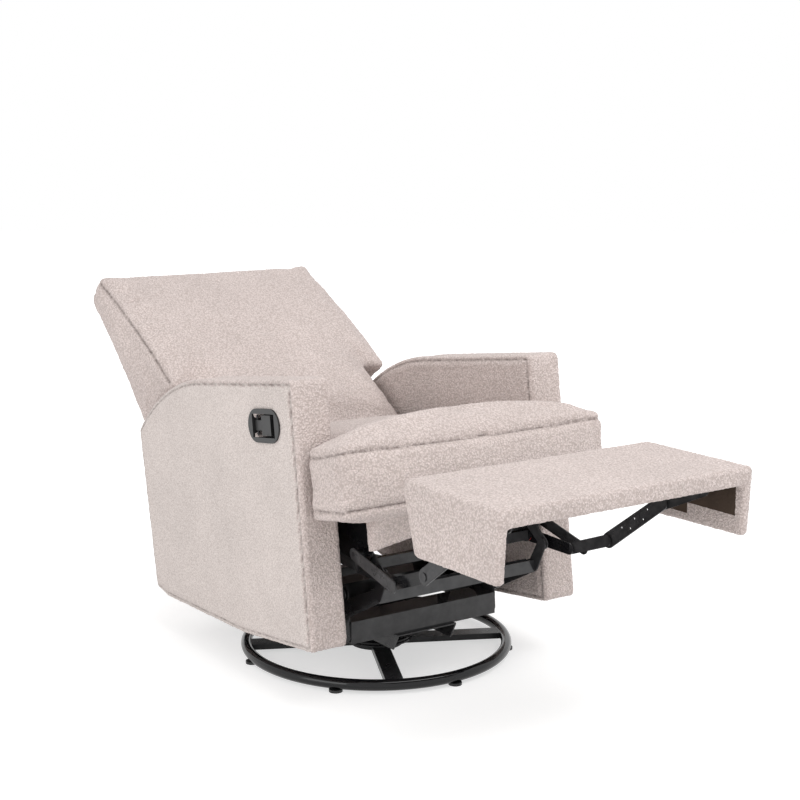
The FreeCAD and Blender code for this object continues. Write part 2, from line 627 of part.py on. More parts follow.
for name, side in SIDES:
    link = new_body(f"front_seat_link_{name}", tilted(f"{side}*({layer('seat_link')})"))
    pad_belt(link, [eye(SEAT_FRONT_HIGH), eye(SEAT_FRONT_LOW)],
             [bearing(SEAT_FRONT_HIGH), bearing(SEAT_FRONT_LOW)])
    keep(link, f"front_seat_link_{name}")
    link = new_body(f"rear_seat_link_{name}", tilted(f"{side}*({layer('seat_link')})"))
    pad_belt(link, [eye(SEAT_REAR_HIGH), eye(SEAT_REAR_LOW)], [bearing(SEAT_REAR_LOW)])
    add_stud(link, SEAT_REAR_HIGH, "head_radius", "plate/2", "layer_pitch - plate - face_gap", side)
    keep(link, f"rear_seat_link_{name}")

# Seat side plates, timber frame, hinge plates and springs

SIDE_INNER = f"({layer('side_plate')} - plate/2)"
SIDE_OUTER = f"({layer('side_plate')} + plate/2)"
UPPER_REACH = f"(upper_layer - plate/2 - face_gap - {SIDE_OUTER})"
for name, side in SIDES:
    plate_body = new_body(f"seat_side_plate_{name}", tilted(f"{side}*({layer('side_plate')})"))
    pad_belt(plate_body, [("rear_seat_high_x - eye_radius", "rear_seat_high_z", "eye_radius"),
                          eye(CRANK, "head_radius + eye_radius/2"),
                          ("front_seat_high_x + eye_radius", "front_seat_high_z", "eye_radius"),
                          ("front_seat_high_x + eye_radius", "frame_top - 2*eye_radius", "eye_radius"),
                          ("rear_seat_high_x - 2*eye_radius", "frame_top - 2*eye_radius", "eye_radius")],
             [bearing(CRANK, "journal_radius")])
    add_rivet(plate_body, SEAT_FRONT_HIGH, -side)
    add_stud(plate_body, SEAT_FRONT_HIGH, "head_radius", "plate/2", UPPER_REACH, side)
    add_stud(plate_body, SEAT_FRONT_HIGH, "pin_radius", "plate/2", f"{UPPER_REACH} + plate + 2*face_gap",
             side)
    keep(plate_body, f"seat_side_plate_{name}")

rails = []
for side in (1, -1):
    low = f"{SIDE_INNER} - frame_rail" if side > 0 else f"-{SIDE_INNER}"
    rails.append(box("SideTimber", "frame_front - frame_rear", "frame_rail", "frame_top - frame_low",
                     ("frame_rear", low, "frame_low"), tilted()))
rails.append(box("FrontTimber", "frame_rail", f"2*{SIDE_INNER}", "frame_top - frame_low",
                 ("frame_front - frame_rail", f"-{SIDE_INNER}", "frame_low"), tilted()))
rails.append(box("RearTimber", "frame_rail", "2*seat_rear_half", "frame_top - frame_low",
                 ("frame_rear", "-seat_rear_half", "frame_low"), tilted()))
keep(fuse("seat_frame", rails), "seat_frame")

for name, side in SIDES:
    hinge = new_body(f"back_hinge_plate_{name}", tilted(f"{side}*hinge_plate_y"))
    pad_belt(hinge, [eye(BACK_PIVOT, "back_eye"),
                     ("frame_rear + back_eye", "frame_low + back_eye", "back_eye")],
             [bearing(BACK_PIVOT, "back_pin_radius")])
    keep(hinge, f"back_hinge_plate_{name}")


def wave_spring(y):
    """One sinuous spring: quarter-round turns joined by straight runs, arched over the frame."""
    start = size("frame_rear + frame_rail + spring_wire + running")
    end = size("frame_front - frame_rail - spring_wire - running")
    waves = int(size("spring_waves"))
    swing = size("spring_swing")
    step = (end - start) / (2 * waves)
    radius = step / 2
    z = size("frame_top - spring_wire - soft_gap")
    points = []
    edges = []
    here = V(start, y, z)
    side = 1
    for i in range(2 * waves):
        span = swing - radius
        up = V(here.x, y + side * span, z)
        edges.append(Part.LineSegment(here, up).toShape())
        top = V(here.x + radius, y + side * swing, z)
        down = V(here.x + step, y + side * span, z)
        edges.append(Part.Arc(up, top, down).toShape())
        here = V(here.x + step, y, z)
        edges.append(Part.LineSegment(down, here).toShape())
        side = -side
    wire = Part.Wire(edges)
    half = size("spring_wire")
    corners = [V(start - half, y, z - half), V(start + half, y, z - half), V(start + half, y, z + half),
               V(start - half, y, z + half)]
    profile = Part.makePolygon(corners + corners[:1])
    return wire.makePipeShell([profile], True, False)


springs = []
count = int(size("spring_count"))
for i in range(count):
    spread = size(f"2*({SIDE_INNER} - frame_rail - spring_swing)")
    springs.append(wave_spring(spread * ((i + 0.5) / count - 0.5)))
keep(feature("seat_springs", Part.makeCompound(springs), tilted()), "seat_springs")


# Soft forms

def swollen_section(x, width, low, shoulder, rise, swell):
    """Closed wire across the seat at x: flat below, swollen sides, crowned top."""
    middle = (low + shoulder) / 2
    corners = [V(x, -width, low), V(x, width, low), V(x, width, shoulder), V(x, -width, shoulder)]
    edges = [Part.LineSegment(corners[0], corners[1]).toShape(),
             Part.Arc(corners[1], V(x, width + swell, middle), corners[2]).toShape(),
             Part.Arc(corners[2], V(x, 0, shoulder + rise), corners[3]).toShape(),
             Part.Arc(corners[3], V(x, -width - swell, middle), corners[0]).toShape()]
    return Part.Wire(edges)


swell = size("seat_side_swell")
low_rear, low_front = size("seat_low_rear"), size("seat_low_front")
rear_width, mid_width = size("seat_rear_width") - swell, size("seat_width") - swell
ear_width = size("seat_ear_width") - 1
PARTS_OF_SEAT = ("rear", "mid", "front")
shoulder_rear, shoulder_mid, shoulder_front = (size(f"seat_shoulder_{name}") for name in PARTS_OF_SEAT)
rise_rear, rise_mid, rise_front = (size(f"seat_rise_{name}") for name in PARTS_OF_SEAT)
main = Part.makeLoft([
    swollen_section(size("seat_waist"), mid_width, low_rear, shoulder_rear + 6, rise_rear, swell),
    swollen_section(size("(seat_waist + seat_ear_rear)/2"), mid_width, low_rear, shoulder_mid - 6,
                    rise_mid - 4, swell),
    swollen_section(size("seat_ear_rear + 1"), mid_width, low_rear, shoulder_mid, rise_mid, swell)],
    True, True)
tail = Part.makeLoft([
    swollen_section(size("seat_rear"), rear_width - 3, low_rear, shoulder_rear - 12, rise_rear/2, swell),
    swollen_section(size("seat_waist + 1"), rear_width, low_rear, shoulder_rear + 5, rise_rear, swell)],
    True, True)
ears = Part.makeLoft([
    swollen_section(size("seat_ear_rear"), ear_width - 2, low_rear + 2, shoulder_mid, rise_mid, swell - 2),
    swollen_section(size("(seat_ear_rear + seat_front)/2"), ear_width, (low_rear + low_front)/2,
                    (shoulder_mid + shoulder_front)/2, rise_front + 2, swell),
    swollen_section(size("seat_front - seat_round"), ear_width, low_front, shoulder_front, rise_front,
                    swell),
    swollen_section(size("seat_front - seat_round/4"), ear_width - 7, low_front + 16, shoulder_front - 4,
                    rise_front * 0.8, swell),
    swollen_section(size("seat_front"), ear_width - 21, low_front + 36, shoulder_front - 26, rise_front / 2,
                    swell)], True, True)
cushion = main.fuse([tail, ears])
keep(feature("seat_cushion", cushion, tilted()), "seat_cushion")

apron_body = new_body("seat_apron", tilted())
apron_sketch = new_sketch(apron_body, "YZ_Plane")
apron_ends = [V(-size("apron_half"), size("apron_low"), 0), V(size("apron_half"), size("apron_low"), 0)]
apron_peak = V(0, size("apron_low + apron_rise"), 0)
apron_arc = apron_sketch.addGeometry(Part.Arc(apron_ends[0], apron_peak, apron_ends[1]))
top_left, top_right = (V(side * size("apron_half"), size("apron_top"), 0) for side in (-1, 1))
apron_lines = [apron_sketch.addGeometry(Part.LineSegment(*ends)) for ends in
               ((apron_ends[1], top_right), (top_right, top_left), (top_left, apron_ends[0]))]
apron_pad = apron_body.newObject("PartDesign::Pad", "Pad")
apron_pad.Profile = apron_sketch
apron_pad.SideType = "Two sides"
apron_pad.setExpression("Length", bind("apron_front"))
apron_pad.setExpression("Length2", bind("-frame_front"))
keep(apron_body, "seat_apron")

# Back: a wedge drawn upright about its pivot and turned back to the reclined pose


def back_section(rise, width, crown, front, rear=None, rear_rise=None):
    """Closed wire across the back: flat rear edge, crowned front edge, slightly swollen sides."""
    rear_x = -size("back_rear") if rear is None else rear
    rear_z = rise if rear_rise is None else rear_rise
    swell_out = 4
    left, right = V(front, width, rise), V(front, -width, rise)
    back_left, back_right = V(rear_x, width - 2, rear_z), V(rear_x, -width + 2, rear_z)
    half = (left + back_left) * 0.5
    forward = V(front - rear_x, 0, rise - rear_z)
    forward.normalize()
    peak = V(front, 0, rise) + forward * crown
    edges = [Part.LineSegment(back_right, back_left).toShape(),
             Part.Arc(back_left, V(half.x, width + swell_out, half.z), left).toShape(),
             Part.Arc(left, peak, right).toShape(),
             Part.Arc(right, V(half.x, -width - swell_out, half.z), back_right).toShape()]
    return Part.Wire(edges)


def back_front(rise):
    return -size("face_gap*20") - math.tan(math.radians(size("back_lean"))) * max(rise, 0)


lean_top = size("back_long*cos(back_lean)")
width = size("back_width") - 4
wing = size("wing_width") - 4


def wing_rear(rise):
    share = (rise - size("wing_low_rear")) / size("back_rear_top - wing_low_rear")
    return -size("wing_rear_low") - share * size("wing_rear_top - wing_rear_low")


crown = size("back_crown")
wing_front, wing_back, rear_top = size("wing_low_front"), size("wing_low_rear"), size("back_rear_top")
lower = Part.makeLoft([
    back_section(6, width, 0.5, back_front(6), None, size("back_low")),
    back_section(90, width, crown / 2, back_front(90), None, size("90 + back_low/2")),
    back_section(wing_front + 6, width, crown, back_front(wing_front + 6), None, wing_back + 6)], True, True)
upper = Part.makeLoft([
    back_section(wing_front, wing - 16, crown, back_front(wing_front) - 4, wing_rear(wing_back) + 8,
                 wing_back),
    back_section(wing_front + 30, wing - 3, crown + 2, back_front(wing_front + 30), wing_rear(wing_back + 22),
                 wing_back + 22),
    back_section(lean_top * 0.72, wing, crown + 2, back_front(lean_top * 0.72), wing_rear(rear_top * 0.72),
                 rear_top * 0.72),
    back_section(lean_top - 26, wing - 5, crown, back_front(lean_top - 26), wing_rear(rear_top - 26),
                 rear_top - 26),
    back_section(lean_top - 2, wing - 20, crown / 2, back_front(lean_top) - 22, wing_rear(rear_top) + 14,
                 rear_top)], True, True)
reclined = FreeCAD.Placement(V(size("back_pivot_x"), 0, size("back_pivot_z")),
                             FreeCAD.Rotation(LATERAL, -size("back_turn")))
notches = []
straps = []
for side in (1, -1):
    face = side * size("strap_face")
    notches.append(Part.makeCylinder(size("hinge_notch"), size("back_width"), V(0, face, 0), V(0, side, 0)))
    eye_round = Part.makeCylinder(size("strap_eye"), size("plate"), V(0, face, 0), V(0, -side, 0))
    end_round = eye_round.translated(V(-size("strap_long"), 0, size("strap_long")))
    across = V(size("strap_eye"), 0, size("strap_eye")) * math.sqrt(0.5)
    reach = V(-size("strap_long"), 0, size("strap_long"))
    corners = [V(0, face, 0) + across, V(0, face, 0) + across + reach, V(0, face, 0) - across + reach,
               V(0, face, 0) - across]
    web = Part.Face(Part.makePolygon(corners + corners[:1])).extrude(V(0, -side * size("plate"), 0))
    reach = size("hinge_plate_y + plate/2 + face_gap - strap_face")
    pin = Part.makeCylinder(size("back_pin_radius"), reach, V(0, face, 0), V(0, side, 0))
    straps.append(eye_round.fuse([end_round, web, pin]).removeSplitter())
strap_group = Part.makeCompound(straps)
back_shape = lower.fuse(upper).cut(Part.makeCompound(notches)).cut(strap_group)
keep(feature("back_cushion", back_shape, tilted().multiply(reclined)), "back_cushion")
keep(feature("back_pivot_straps", strap_group, tilted().multiply(reclined)), "back_pivot_straps")

# Footrest linkage: torque tube and cranks, middle links, wide carriers and upper links

TUBE_END = f"({SIDE_INNER} - face_gap)"
tube_outer = box("TubeOuter", "2*tube_half", f"2*{TUBE_END}", "2*tube_half",
                 ("crank_pivot_x - tube_half", f"-{TUBE_END}", "crank_pivot_z - tube_half"), tilted())
TUBE_ROOM = "2*(tube_half - tube_wall)"
tube_inner = box("TubeInner", TUBE_ROOM, f"2*{TUBE_END} - 2*sheet", TUBE_ROOM,
                 ("crank_pivot_x - tube_half + tube_wall", f"sheet - {TUBE_END}",
                  "crank_pivot_z - tube_half + tube_wall"), tilted())
keep(cut("torque_tube", tube_outer, tube_inner), "torque_tube")

washers = []
for name, side in SIDES:
    crank = new_body(f"footrest_crank_{name}", tilted(f"{side}*({layer('crank')})"))
    pad_belt(crank, [eye(CRANK, "carrier_eye"), eye(LOW_ELBOW)])
    add_stud(crank, CRANK, "journal_radius", "plate/2", f"{layer('crank')} - plate/2 - {TUBE_END}", -side)
    add_rivet(crank, LOW_ELBOW, side)
    keep(crank, f"footrest_crank_{name}")
    middle = new_body(f"footrest_middle_link_{name}", tilted(f"{side}*({layer('middle')})"))
    pad_belt(middle, [eye(LOW_ELBOW), eye(MID_ELBOW)], [bearing(LOW_ELBOW)])
    add_rivet(middle, MID_ELBOW, side)
    keep(middle, f"footrest_middle_link_{name}")
    carrier = new_body(f"footrest_carrier_{name}", tilted(f"{side}*({layer('carrier')})"))
    holes = [bearing(MID_ELBOW)]
    for share in (0.28, 0.4, 0.52, 0.64, 0.76):
        offset = 6 if int(share * 100) % 24 == 4 else -6
        spot = along(MID_ELBOW, f"{share}*carrier_long", "carrier_angle")
        shifted = (f"{spot[0]} - {offset}*sin(carrier_angle)", f"{spot[1]} + {offset}*cos(carrier_angle)")
        holes.append((shifted, "carrier_hole"))
    pad_belt(carrier, [eye(MID_ELBOW, "carrier_eye + 2"), eye(CARRIER_END, "carrier_eye")], holes)
    add_rivet(carrier, CARRIER_END, side)
    keep(carrier, f"footrest_carrier_{name}")
    upper_link = new_body(f"footrest_upper_link_{name}", tilted(f"{side}*upper_layer"))
    pad_belt(upper_link, [eye(SEAT_FRONT_HIGH), eye(UPPER_END)], [bearing(SEAT_FRONT_HIGH)])
    keep(upper_link, f"footrest_upper_link_{name}")
    start = V(size(CRANK[0]), side * size(f"{layer('crank')} - plate/2"), size(CRANK[1]))
    ring_width = size("layer_pitch - plate - face_gap")
    disc = Part.makeCylinder(size("carrier_eye"), ring_width, start, V(0, -side, 0))
    washers.append(disc.cut(Part.makeCylinder(size("journal_radius"), ring_width, start, V(0, -side, 0))))
keep(feature("crank_washers", Part.makeCompound(washers), tilted()), "crank_washers")

# Footrest: steel brackets, board and the padded top with a flap down each end

PAD_LOW = "(rest_top - rest_pad)"
BOARD_LOW = f"({PAD_LOW} - rest_board)"
for name, side in SIDES:
    bracket = new_body(f"footrest_bracket_{name}", level(f"{side}*({layer('bracket')})"))
    pad_belt(bracket, [eye(REST_PIVOT, "carrier_eye"),
                       ("bracket_front", f"{BOARD_LOW} - eye_radius", "eye_radius"),
                       ("bracket_rear", f"{BOARD_LOW} - eye_radius", "eye_radius")],
             [bearing(REST_PIVOT)])
    flange = bracket.newObject("PartDesign::AdditiveBox", "Flange")
    flange.setExpression("Length", bind("bracket_front - bracket_rear"))
    flange.setExpression("Width", bind("bracket_flange"))
    flange.setExpression("Height", bind("plate"))
    offset = "-plate/2" if side < 0 else "plate/2 - bracket_flange"
    for axis, text in zip("xyz", ("bracket_rear", offset, f"{BOARD_LOW} - plate")):
        flange.setExpression(f"Placement.Base.{axis}", bind(text))
    keep(bracket, f"footrest_bracket_{name}")

BOARD_SIZE = ("rest_front - rest_rear - 2*rest_board", "2*(rest_half - flap_thick)", "rest_board")
BOARD_PLACE = ("rest_rear + rest_board", "flap_thick - rest_half", BOARD_LOW)
board = box("footrest_board", *BOARD_SIZE, BOARD_PLACE)
keep(board, "footrest_board")

# The board is set into the pad's underside, so the fabric hides its edges

cover = new_body("footrest_pad", level())
pad_polygon(cover, [("rest_rear", BOARD_LOW), ("rest_front", BOARD_LOW), ("rest_front", "rest_top"),
                    ("rest_rear", "rest_top")], "2*rest_half")
for near, far in (("rest_half", "flap_thick - rest_half"), ("flap_thick - rest_half", "rest_half")):
    sketch = new_sketch(cover)
    draw_polygon(sketch, [("rest_rear", BOARD_LOW), ("rest_rear + flap_lean_rear", "flap_low_rear"),
                          ("rest_front - flap_lean_front", "flap_low_front"), ("rest_front", BOARD_LOW)])
    flap = cover.newObject("PartDesign::Pad", "Flap")
    flap.Profile = sketch
    flap.SideType = "Two sides"
    flap.setExpression("Length", bind(near))
    flap.setExpression("Length2", bind(far))
recess = cover.newObject("PartDesign::SubtractiveBox", "BoardRecess")
for name, text in zip(("Length", "Width", "Height"), BOARD_SIZE):
    recess.setExpression(name, bind(text))
for axis, text in zip("xyz", BOARD_PLACE):
    recess.setExpression(f"Placement.Base.{axis}", bind(text))
keep(cover, "footrest_pad")

# Check every object before anything is written

doc.recompute()
for item in doc.Objects:
    if "Invalid" in item.State or "Error" in item.State:
        raise RuntimeError(f"{item.Label} failed: {item.State}")
for node in NODES:
    shape = node.Shape
    if shape.isNull() or not shape.isValid() or not shape.Solids:
        raise RuntimeError(f"{node.Label} has no valid shape")
for node in NODES:
    node.Shape.exportStep(f"parts/{node.Label}.step")
    print(f"{node.Label}: {len(node.Shape.Solids)} solids, {node.Shape.Volume / 1000:.1f} cm3")
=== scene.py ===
# A swivel glider recliner, tipped back on its glide with the footrest out
# Bouclé upholstery over a black steel mechanism that turns on a round tube base

import math

import bmesh
import bpy
import numpy as np
from mathutils import Euler, Matrix, Vector, noise
from mathutils.bvhtree import BVHTree


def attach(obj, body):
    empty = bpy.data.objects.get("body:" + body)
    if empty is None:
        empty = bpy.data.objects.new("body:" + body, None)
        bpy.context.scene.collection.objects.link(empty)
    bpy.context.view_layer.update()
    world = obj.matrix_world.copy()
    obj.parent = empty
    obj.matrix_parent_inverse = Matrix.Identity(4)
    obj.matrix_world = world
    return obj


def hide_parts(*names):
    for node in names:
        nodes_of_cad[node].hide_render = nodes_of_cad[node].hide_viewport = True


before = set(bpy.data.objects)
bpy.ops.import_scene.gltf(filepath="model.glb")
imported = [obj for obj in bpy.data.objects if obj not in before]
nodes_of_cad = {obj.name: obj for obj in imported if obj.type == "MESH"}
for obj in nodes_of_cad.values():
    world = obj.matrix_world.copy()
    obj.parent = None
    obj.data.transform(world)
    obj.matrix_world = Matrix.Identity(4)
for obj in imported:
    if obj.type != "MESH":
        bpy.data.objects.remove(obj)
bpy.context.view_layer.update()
scene = bpy.context.scene

# Camera
# A long lens at about seat height, ahead of the sitter's right arm, looking a little down

camera = bpy.data.objects.new("camera", bpy.data.cameras.new("camera"))
scene.collection.objects.link(camera)
camera.location = (2.8848, -1.9278, 1.2180)
camera.rotation_euler = Euler((1.391195, -0.003444, 0.966922))
camera.data.sensor_width = 36
camera.data.lens = 69.49
camera.data.clip_end = 50
scene.camera = camera

# Studio floor
# A white sweep that keeps a soft shadow under the base, and a white world round it

scene.view_settings.view_transform = "Standard"


def new_material(name):
    material = bpy.data.materials.new(name)
    material.use_nodes = True
    tree = material.node_tree
    tree.nodes.clear()
    output = tree.nodes.new("ShaderNodeOutputMaterial")
    return material, tree, output


def node(tree, kind, **settings):
    """Add a node, set its plain sockets and options, and return it."""
    made = tree.nodes.new("ShaderNode" + kind)
    for key, value in settings.items():
        if key in made.inputs:
            made.inputs[key].default_value = value
        else:
            setattr(made, key, value)
    return made


floor_mesh = bmesh.new()
bmesh.ops.create_circle(floor_mesh, cap_ends=True, segments=64, radius=14)
floor_data = bpy.data.meshes.new("studio_floor")
floor_mesh.to_mesh(floor_data)
floor_mesh.free()
floor = bpy.data.objects.new("studio_floor", floor_data)
scene.collection.objects.link(floor)
floor_white, tree, output = new_material("floor_white")
diffuse = node(tree, "BsdfDiffuse", Color=(0.94, 0.94, 0.94, 1))
glow = node(tree, "Emission", Color=(1, 1, 1, 1), Strength=1.45)
blend_floor = node(tree, "MixShader")
path = node(tree, "LightPath")
middle = node(tree, "NewGeometry")
reach = node(tree, "VectorMath", operation="LENGTH")
tree.links.new(middle.outputs["Position"], reach.inputs[0])
whiten = node(tree, "MapRange")
whiten.inputs["From Min"].default_value = 0.55
whiten.inputs["From Max"].default_value = 1.9
whiten.inputs["To Min"].default_value = 0.40
whiten.inputs["To Max"].default_value = 1.0
tree.links.new(reach.outputs["Value"], whiten.inputs["Value"])
share = node(tree, "Math", operation="MULTIPLY")
tree.links.new(whiten.outputs["Result"], share.inputs[1])
seen = node(tree, "Math", operation="MAXIMUM")
tree.links.new(path.outputs["Is Camera Ray"], seen.inputs[0])
tree.links.new(path.outputs["Is Glossy Ray"], seen.inputs[1])
tree.links.new(seen.outputs[0], share.inputs[0])
tree.links.new(share.outputs[0], blend_floor.inputs["Fac"])
tree.links.new(diffuse.outputs[0], blend_floor.inputs[1])
tree.links.new(glow.outputs[0], blend_floor.inputs[2])
tree.links.new(blend_floor.outputs[0], output.inputs["Surface"])
floor_data.materials.append(floor_white)

world = bpy.data.worlds.new("studio")
scene.world = world
world.use_nodes = True
tree = world.node_tree
tree.nodes.clear()
output = tree.nodes.new("ShaderNodeOutputWorld")
sky = node(tree, "Background", Color=(1.0, 0.99, 0.98, 1), Strength=0.88)
backdrop = node(tree, "Background", Color=(1, 1, 1, 1), Strength=1.0)
path = node(tree, "LightPath")
seen = node(tree, "Math", operation="MAXIMUM")
choose = node(tree, "MixShader")
tree.links.new(path.outputs["Is Camera Ray"], seen.inputs[0])
tree.links.new(path.outputs["Is Glossy Ray"], seen.inputs[1])
tree.links.new(seen.outputs[0], choose.inputs["Fac"])
tree.links.new(sky.outputs[0], choose.inputs[1])
tree.links.new(backdrop.outputs[0], choose.inputs[2])
tree.links.new(choose.outputs[0], output.inputs["Surface"])


def soft_box(name, place, aim, size, watts):
    lamp = bpy.data.lights.new(name, "AREA")
    lamp.shape = "RECTANGLE"
    lamp.size, lamp.size_y = size
    lamp.energy = watts
    holder = bpy.data.objects.new(name, lamp)
    holder.location = place
    holder.rotation_euler = (Vector(aim) - Vector(place)).to_track_quat("-Z", "Y").to_euler()
    scene.collection.objects.link(holder)


soft_box("key_light", (1.9, 0.5, 3.6), (0, 0, 0.4), (2.8, 2.4), 66)
soft_box("fill_light", (1.0, -4.0, 1.5), (0, 0, 0.4), (2.8, 1.8), 34)

# Painted steel
# Powder-coated tube, folded channel and flat links, a little worn along their edges


paint_group = bpy.data.node_groups.new("paint_wear", "ShaderNodeTree")
for socket, kind, way in (("Grain", "NodeSocketFloat", "INPUT"), ("Wear", "NodeSocketFloat", "INPUT"),
                          ("Rubbed", "NodeSocketFloat", "OUTPUT"), ("Dust", "NodeSocketFloat", "OUTPUT"),
                          ("Height", "NodeSocketFloat", "OUTPUT")):
    paint_group.interface.new_socket(socket, in_out=way, socket_type=kind)
inside = node(paint_group, "TexCoord")
entry = paint_group.nodes.new("NodeGroupInput")
leave = paint_group.nodes.new("NodeGroupOutput")
orange_peel = node(paint_group, "TexNoise", Detail=3.0)
paint_group.links.new(inside.outputs["Object"], orange_peel.inputs["Vector"])
paint_group.links.new(entry.outputs["Grain"], orange_peel.inputs["Scale"])
paint_group.links.new(orange_peel.outputs["Fac"], leave.inputs["Height"])
geometry = node(paint_group, "NewGeometry")
sharp = node(paint_group, "ValToRGB")
sharp.color_ramp.elements[0].position = 0.54
sharp.color_ramp.elements[1].position = 0.62
paint_group.links.new(geometry.outputs["Pointiness"], sharp.inputs["Fac"])
patches = node(paint_group, "TexNoise", Scale=38.0, Detail=4.0)
paint_group.links.new(inside.outputs["Object"], patches.inputs["Vector"])
patchy = node(paint_group, "Math", operation="MULTIPLY")
paint_group.links.new(sharp.outputs["Color"], patchy.inputs[0])
paint_group.links.new(patches.outputs["Fac"], patchy.inputs[1])
worn = node(paint_group, "Math", operation="MULTIPLY")
paint_group.links.new(patchy.outputs[0], worn.inputs[0])
paint_group.links.new(entry.outputs["Wear"], worn.inputs[1])
paint_group.links.new(worn.outputs[0], leave.inputs["Rubbed"])
haze = node(paint_group, "TexNoise", Scale=9.0, Detail=5.0, Roughness=0.62)
paint_group.links.new(inside.outputs["Object"], haze.inputs["Vector"])
settled = node(paint_group, "MapRange")
settled.inputs["From Min"].default_value = 0.45
settled.inputs["From Max"].default_value = 0.8
paint_group.links.new(haze.outputs["Fac"], settled.inputs["Value"])
paint_group.links.new(settled.outputs["Result"], leave.inputs["Dust"])


def painted_steel(name, colour, rough, sheen, grain, wear, bump):
    material, tree, output = new_material(name)
    shader = node(tree, "BsdfPrincipled")
    shader.inputs["Specular IOR Level"].default_value = sheen
    group = tree.nodes.new("ShaderNodeGroup")
    group.node_tree = paint_group
    group.inputs["Grain"].default_value = grain
    group.inputs["Wear"].default_value = wear
    paint = node(tree, "Mix", data_type="RGBA")
    paint.inputs["A"].default_value = (*colour, 1)
    paint.inputs["B"].default_value = (0.16, 0.16, 0.165, 1)
    tree.links.new(group.outputs["Rubbed"], paint.inputs["Factor"])
    tree.links.new(paint.outputs["Result"], shader.inputs["Base Color"])
    roughness = node(tree, "MapRange")
    roughness.inputs["To Min"].default_value = rough
    roughness.inputs["To Max"].default_value = rough + 0.22
    tree.links.new(group.outputs["Dust"], roughness.inputs["Value"])
    tree.links.new(roughness.outputs["Result"], shader.inputs["Roughness"])
    relief = node(tree, "Bump", Strength=bump, Distance=0.0004)
    tree.links.new(group.outputs["Height"], relief.inputs["Height"])
    tree.links.new(relief.outputs["Normal"], shader.inputs["Normal"])
    tree.links.new(shader.outputs["BSDF"], output.inputs["Surface"])
    return material


def finish_nodes(material, *names):
    for name in names:
        for place in nodes_of_cad[name].material_slots:
            place.material = material


def both(name):
    return (name + "_left", name + "_right")


satin_black = painted_steel("satin_black_paint", (0.006, 0.006, 0.007), 0.20, 0.24, 900.0, 0.5, 0.25)
gloss_black = painted_steel("gloss_black_paint", (0.004, 0.004, 0.005), 0.05, 0.42, 260.0, 0.35, 0.10)
finish_nodes(satin_black, "base_spokes", "lower_race", "swivel_post", "rear_cross_member",
             "torque_tube", "handle_pin", *both("glide_tower"), *both("front_glide_link"),
             *both("rear_glide_link"), *both("carriage_rail"), *both("arm_brackets"),
             *both("front_seat_link"), *both("rear_seat_link"),
             *both("seat_side_plate"), *both("back_hinge_plate"), *both("footrest_crank"),
             *both("footrest_middle_link"), *both("footrest_carrier"), *both("footrest_upper_link"),
             *both("footrest_bracket"))
finish_nodes(gloss_black, "base_ring", "swivel_pan", "front_glide_beam", "rear_glide_beam",
             "front_stretcher")

# Bright steel
# Zinc-plated straps, pins and rollers, and the tempered wire of the seat springs

zinc, tree, output = new_material("zinc_plate")
shader = node(tree, "BsdfPrincipled", Metallic=1.0)
coordinates = node(tree, "TexCoord")
spangle = node(tree, "TexVoronoi", Scale=420.0)
tree.links.new(coordinates.outputs["Object"], spangle.inputs["Vector"])
tone = node(tree, "ValToRGB")
tone.color_ramp.elements[0].color = (0.42, 0.43, 0.44, 1)
tone.color_ramp.elements[1].color = (0.62, 0.62, 0.61, 1)
tree.links.new(spangle.outputs["Distance"], tone.inputs["Fac"])
tree.links.new(tone.outputs["Color"], shader.inputs["Base Color"])
dull = node(tree, "MapRange")
dull.inputs["To Min"].default_value = 0.28
dull.inputs["To Max"].default_value = 0.5
tree.links.new(spangle.outputs["Distance"], dull.inputs["Value"])
tree.links.new(dull.outputs["Result"], shader.inputs["Roughness"])
tree.links.new(shader.outputs["BSDF"], output.inputs["Surface"])
finish_nodes(zinc, "bearing_rollers", "back_pivot_straps", "seat_springs")

# Red plastic washers
# Thin moulded spacers between the cranks and the side plates

red_plastic, tree, output = new_material("red_plastic")
shader = node(tree, "BsdfPrincipled", Roughness=0.42)
coordinates = node(tree, "TexCoord")
flow = node(tree, "TexNoise", Scale=160.0, Detail=3.0)
tree.links.new(coordinates.outputs["Object"], flow.inputs["Vector"])
tone = node(tree, "ValToRGB")
tone.color_ramp.elements[0].color = (0.30, 0.012, 0.010, 1)
tone.color_ramp.elements[1].color = (0.42, 0.022, 0.016, 1)
tree.links.new(flow.outputs["Fac"], tone.inputs["Fac"])
tree.links.new(tone.outputs["Color"], shader.inputs["Base Color"])
tree.links.new(shader.outputs["BSDF"], output.inputs["Surface"])
finish_nodes(red_plastic, "crank_washers")

# Timber
# Planed hardwood for the frame that carries the seat springs

timber, tree, output = new_material("seat_timber")
shader = node(tree, "BsdfPrincipled", Roughness=0.62)
coordinates = node(tree, "TexCoord")
stretch = node(tree, "Mapping")
stretch.inputs["Scale"].default_value = (3.0, 3.0, 40.0)
rings = node(tree, "TexNoise", Scale=4.0, Detail=6.0, Distortion=1.2)
tree.links.new(coordinates.outputs["Object"], stretch.inputs["Vector"])
tree.links.new(stretch.outputs["Vector"], rings.inputs["Vector"])
tone = node(tree, "ValToRGB")
tone.color_ramp.elements[0].color = (0.26, 0.15, 0.07, 1)
tone.color_ramp.elements[1].color = (0.50, 0.34, 0.19, 1)
tree.links.new(rings.outputs["Fac"], tone.inputs["Fac"])
tree.links.new(tone.outputs["Color"], shader.inputs["Base Color"])
relief = node(tree, "Bump", Strength=0.3, Distance=0.0006)
tree.links.new(rings.outputs["Fac"], relief.inputs["Height"])
tree.links.new(relief.outputs["Normal"], shader.inputs["Normal"])
tree.links.new(shader.outputs["BSDF"], output.inputs["Surface"])
finish_nodes(timber, "seat_frame")

# Black plastic
# Moulded polymer of the floor pads and the release handle

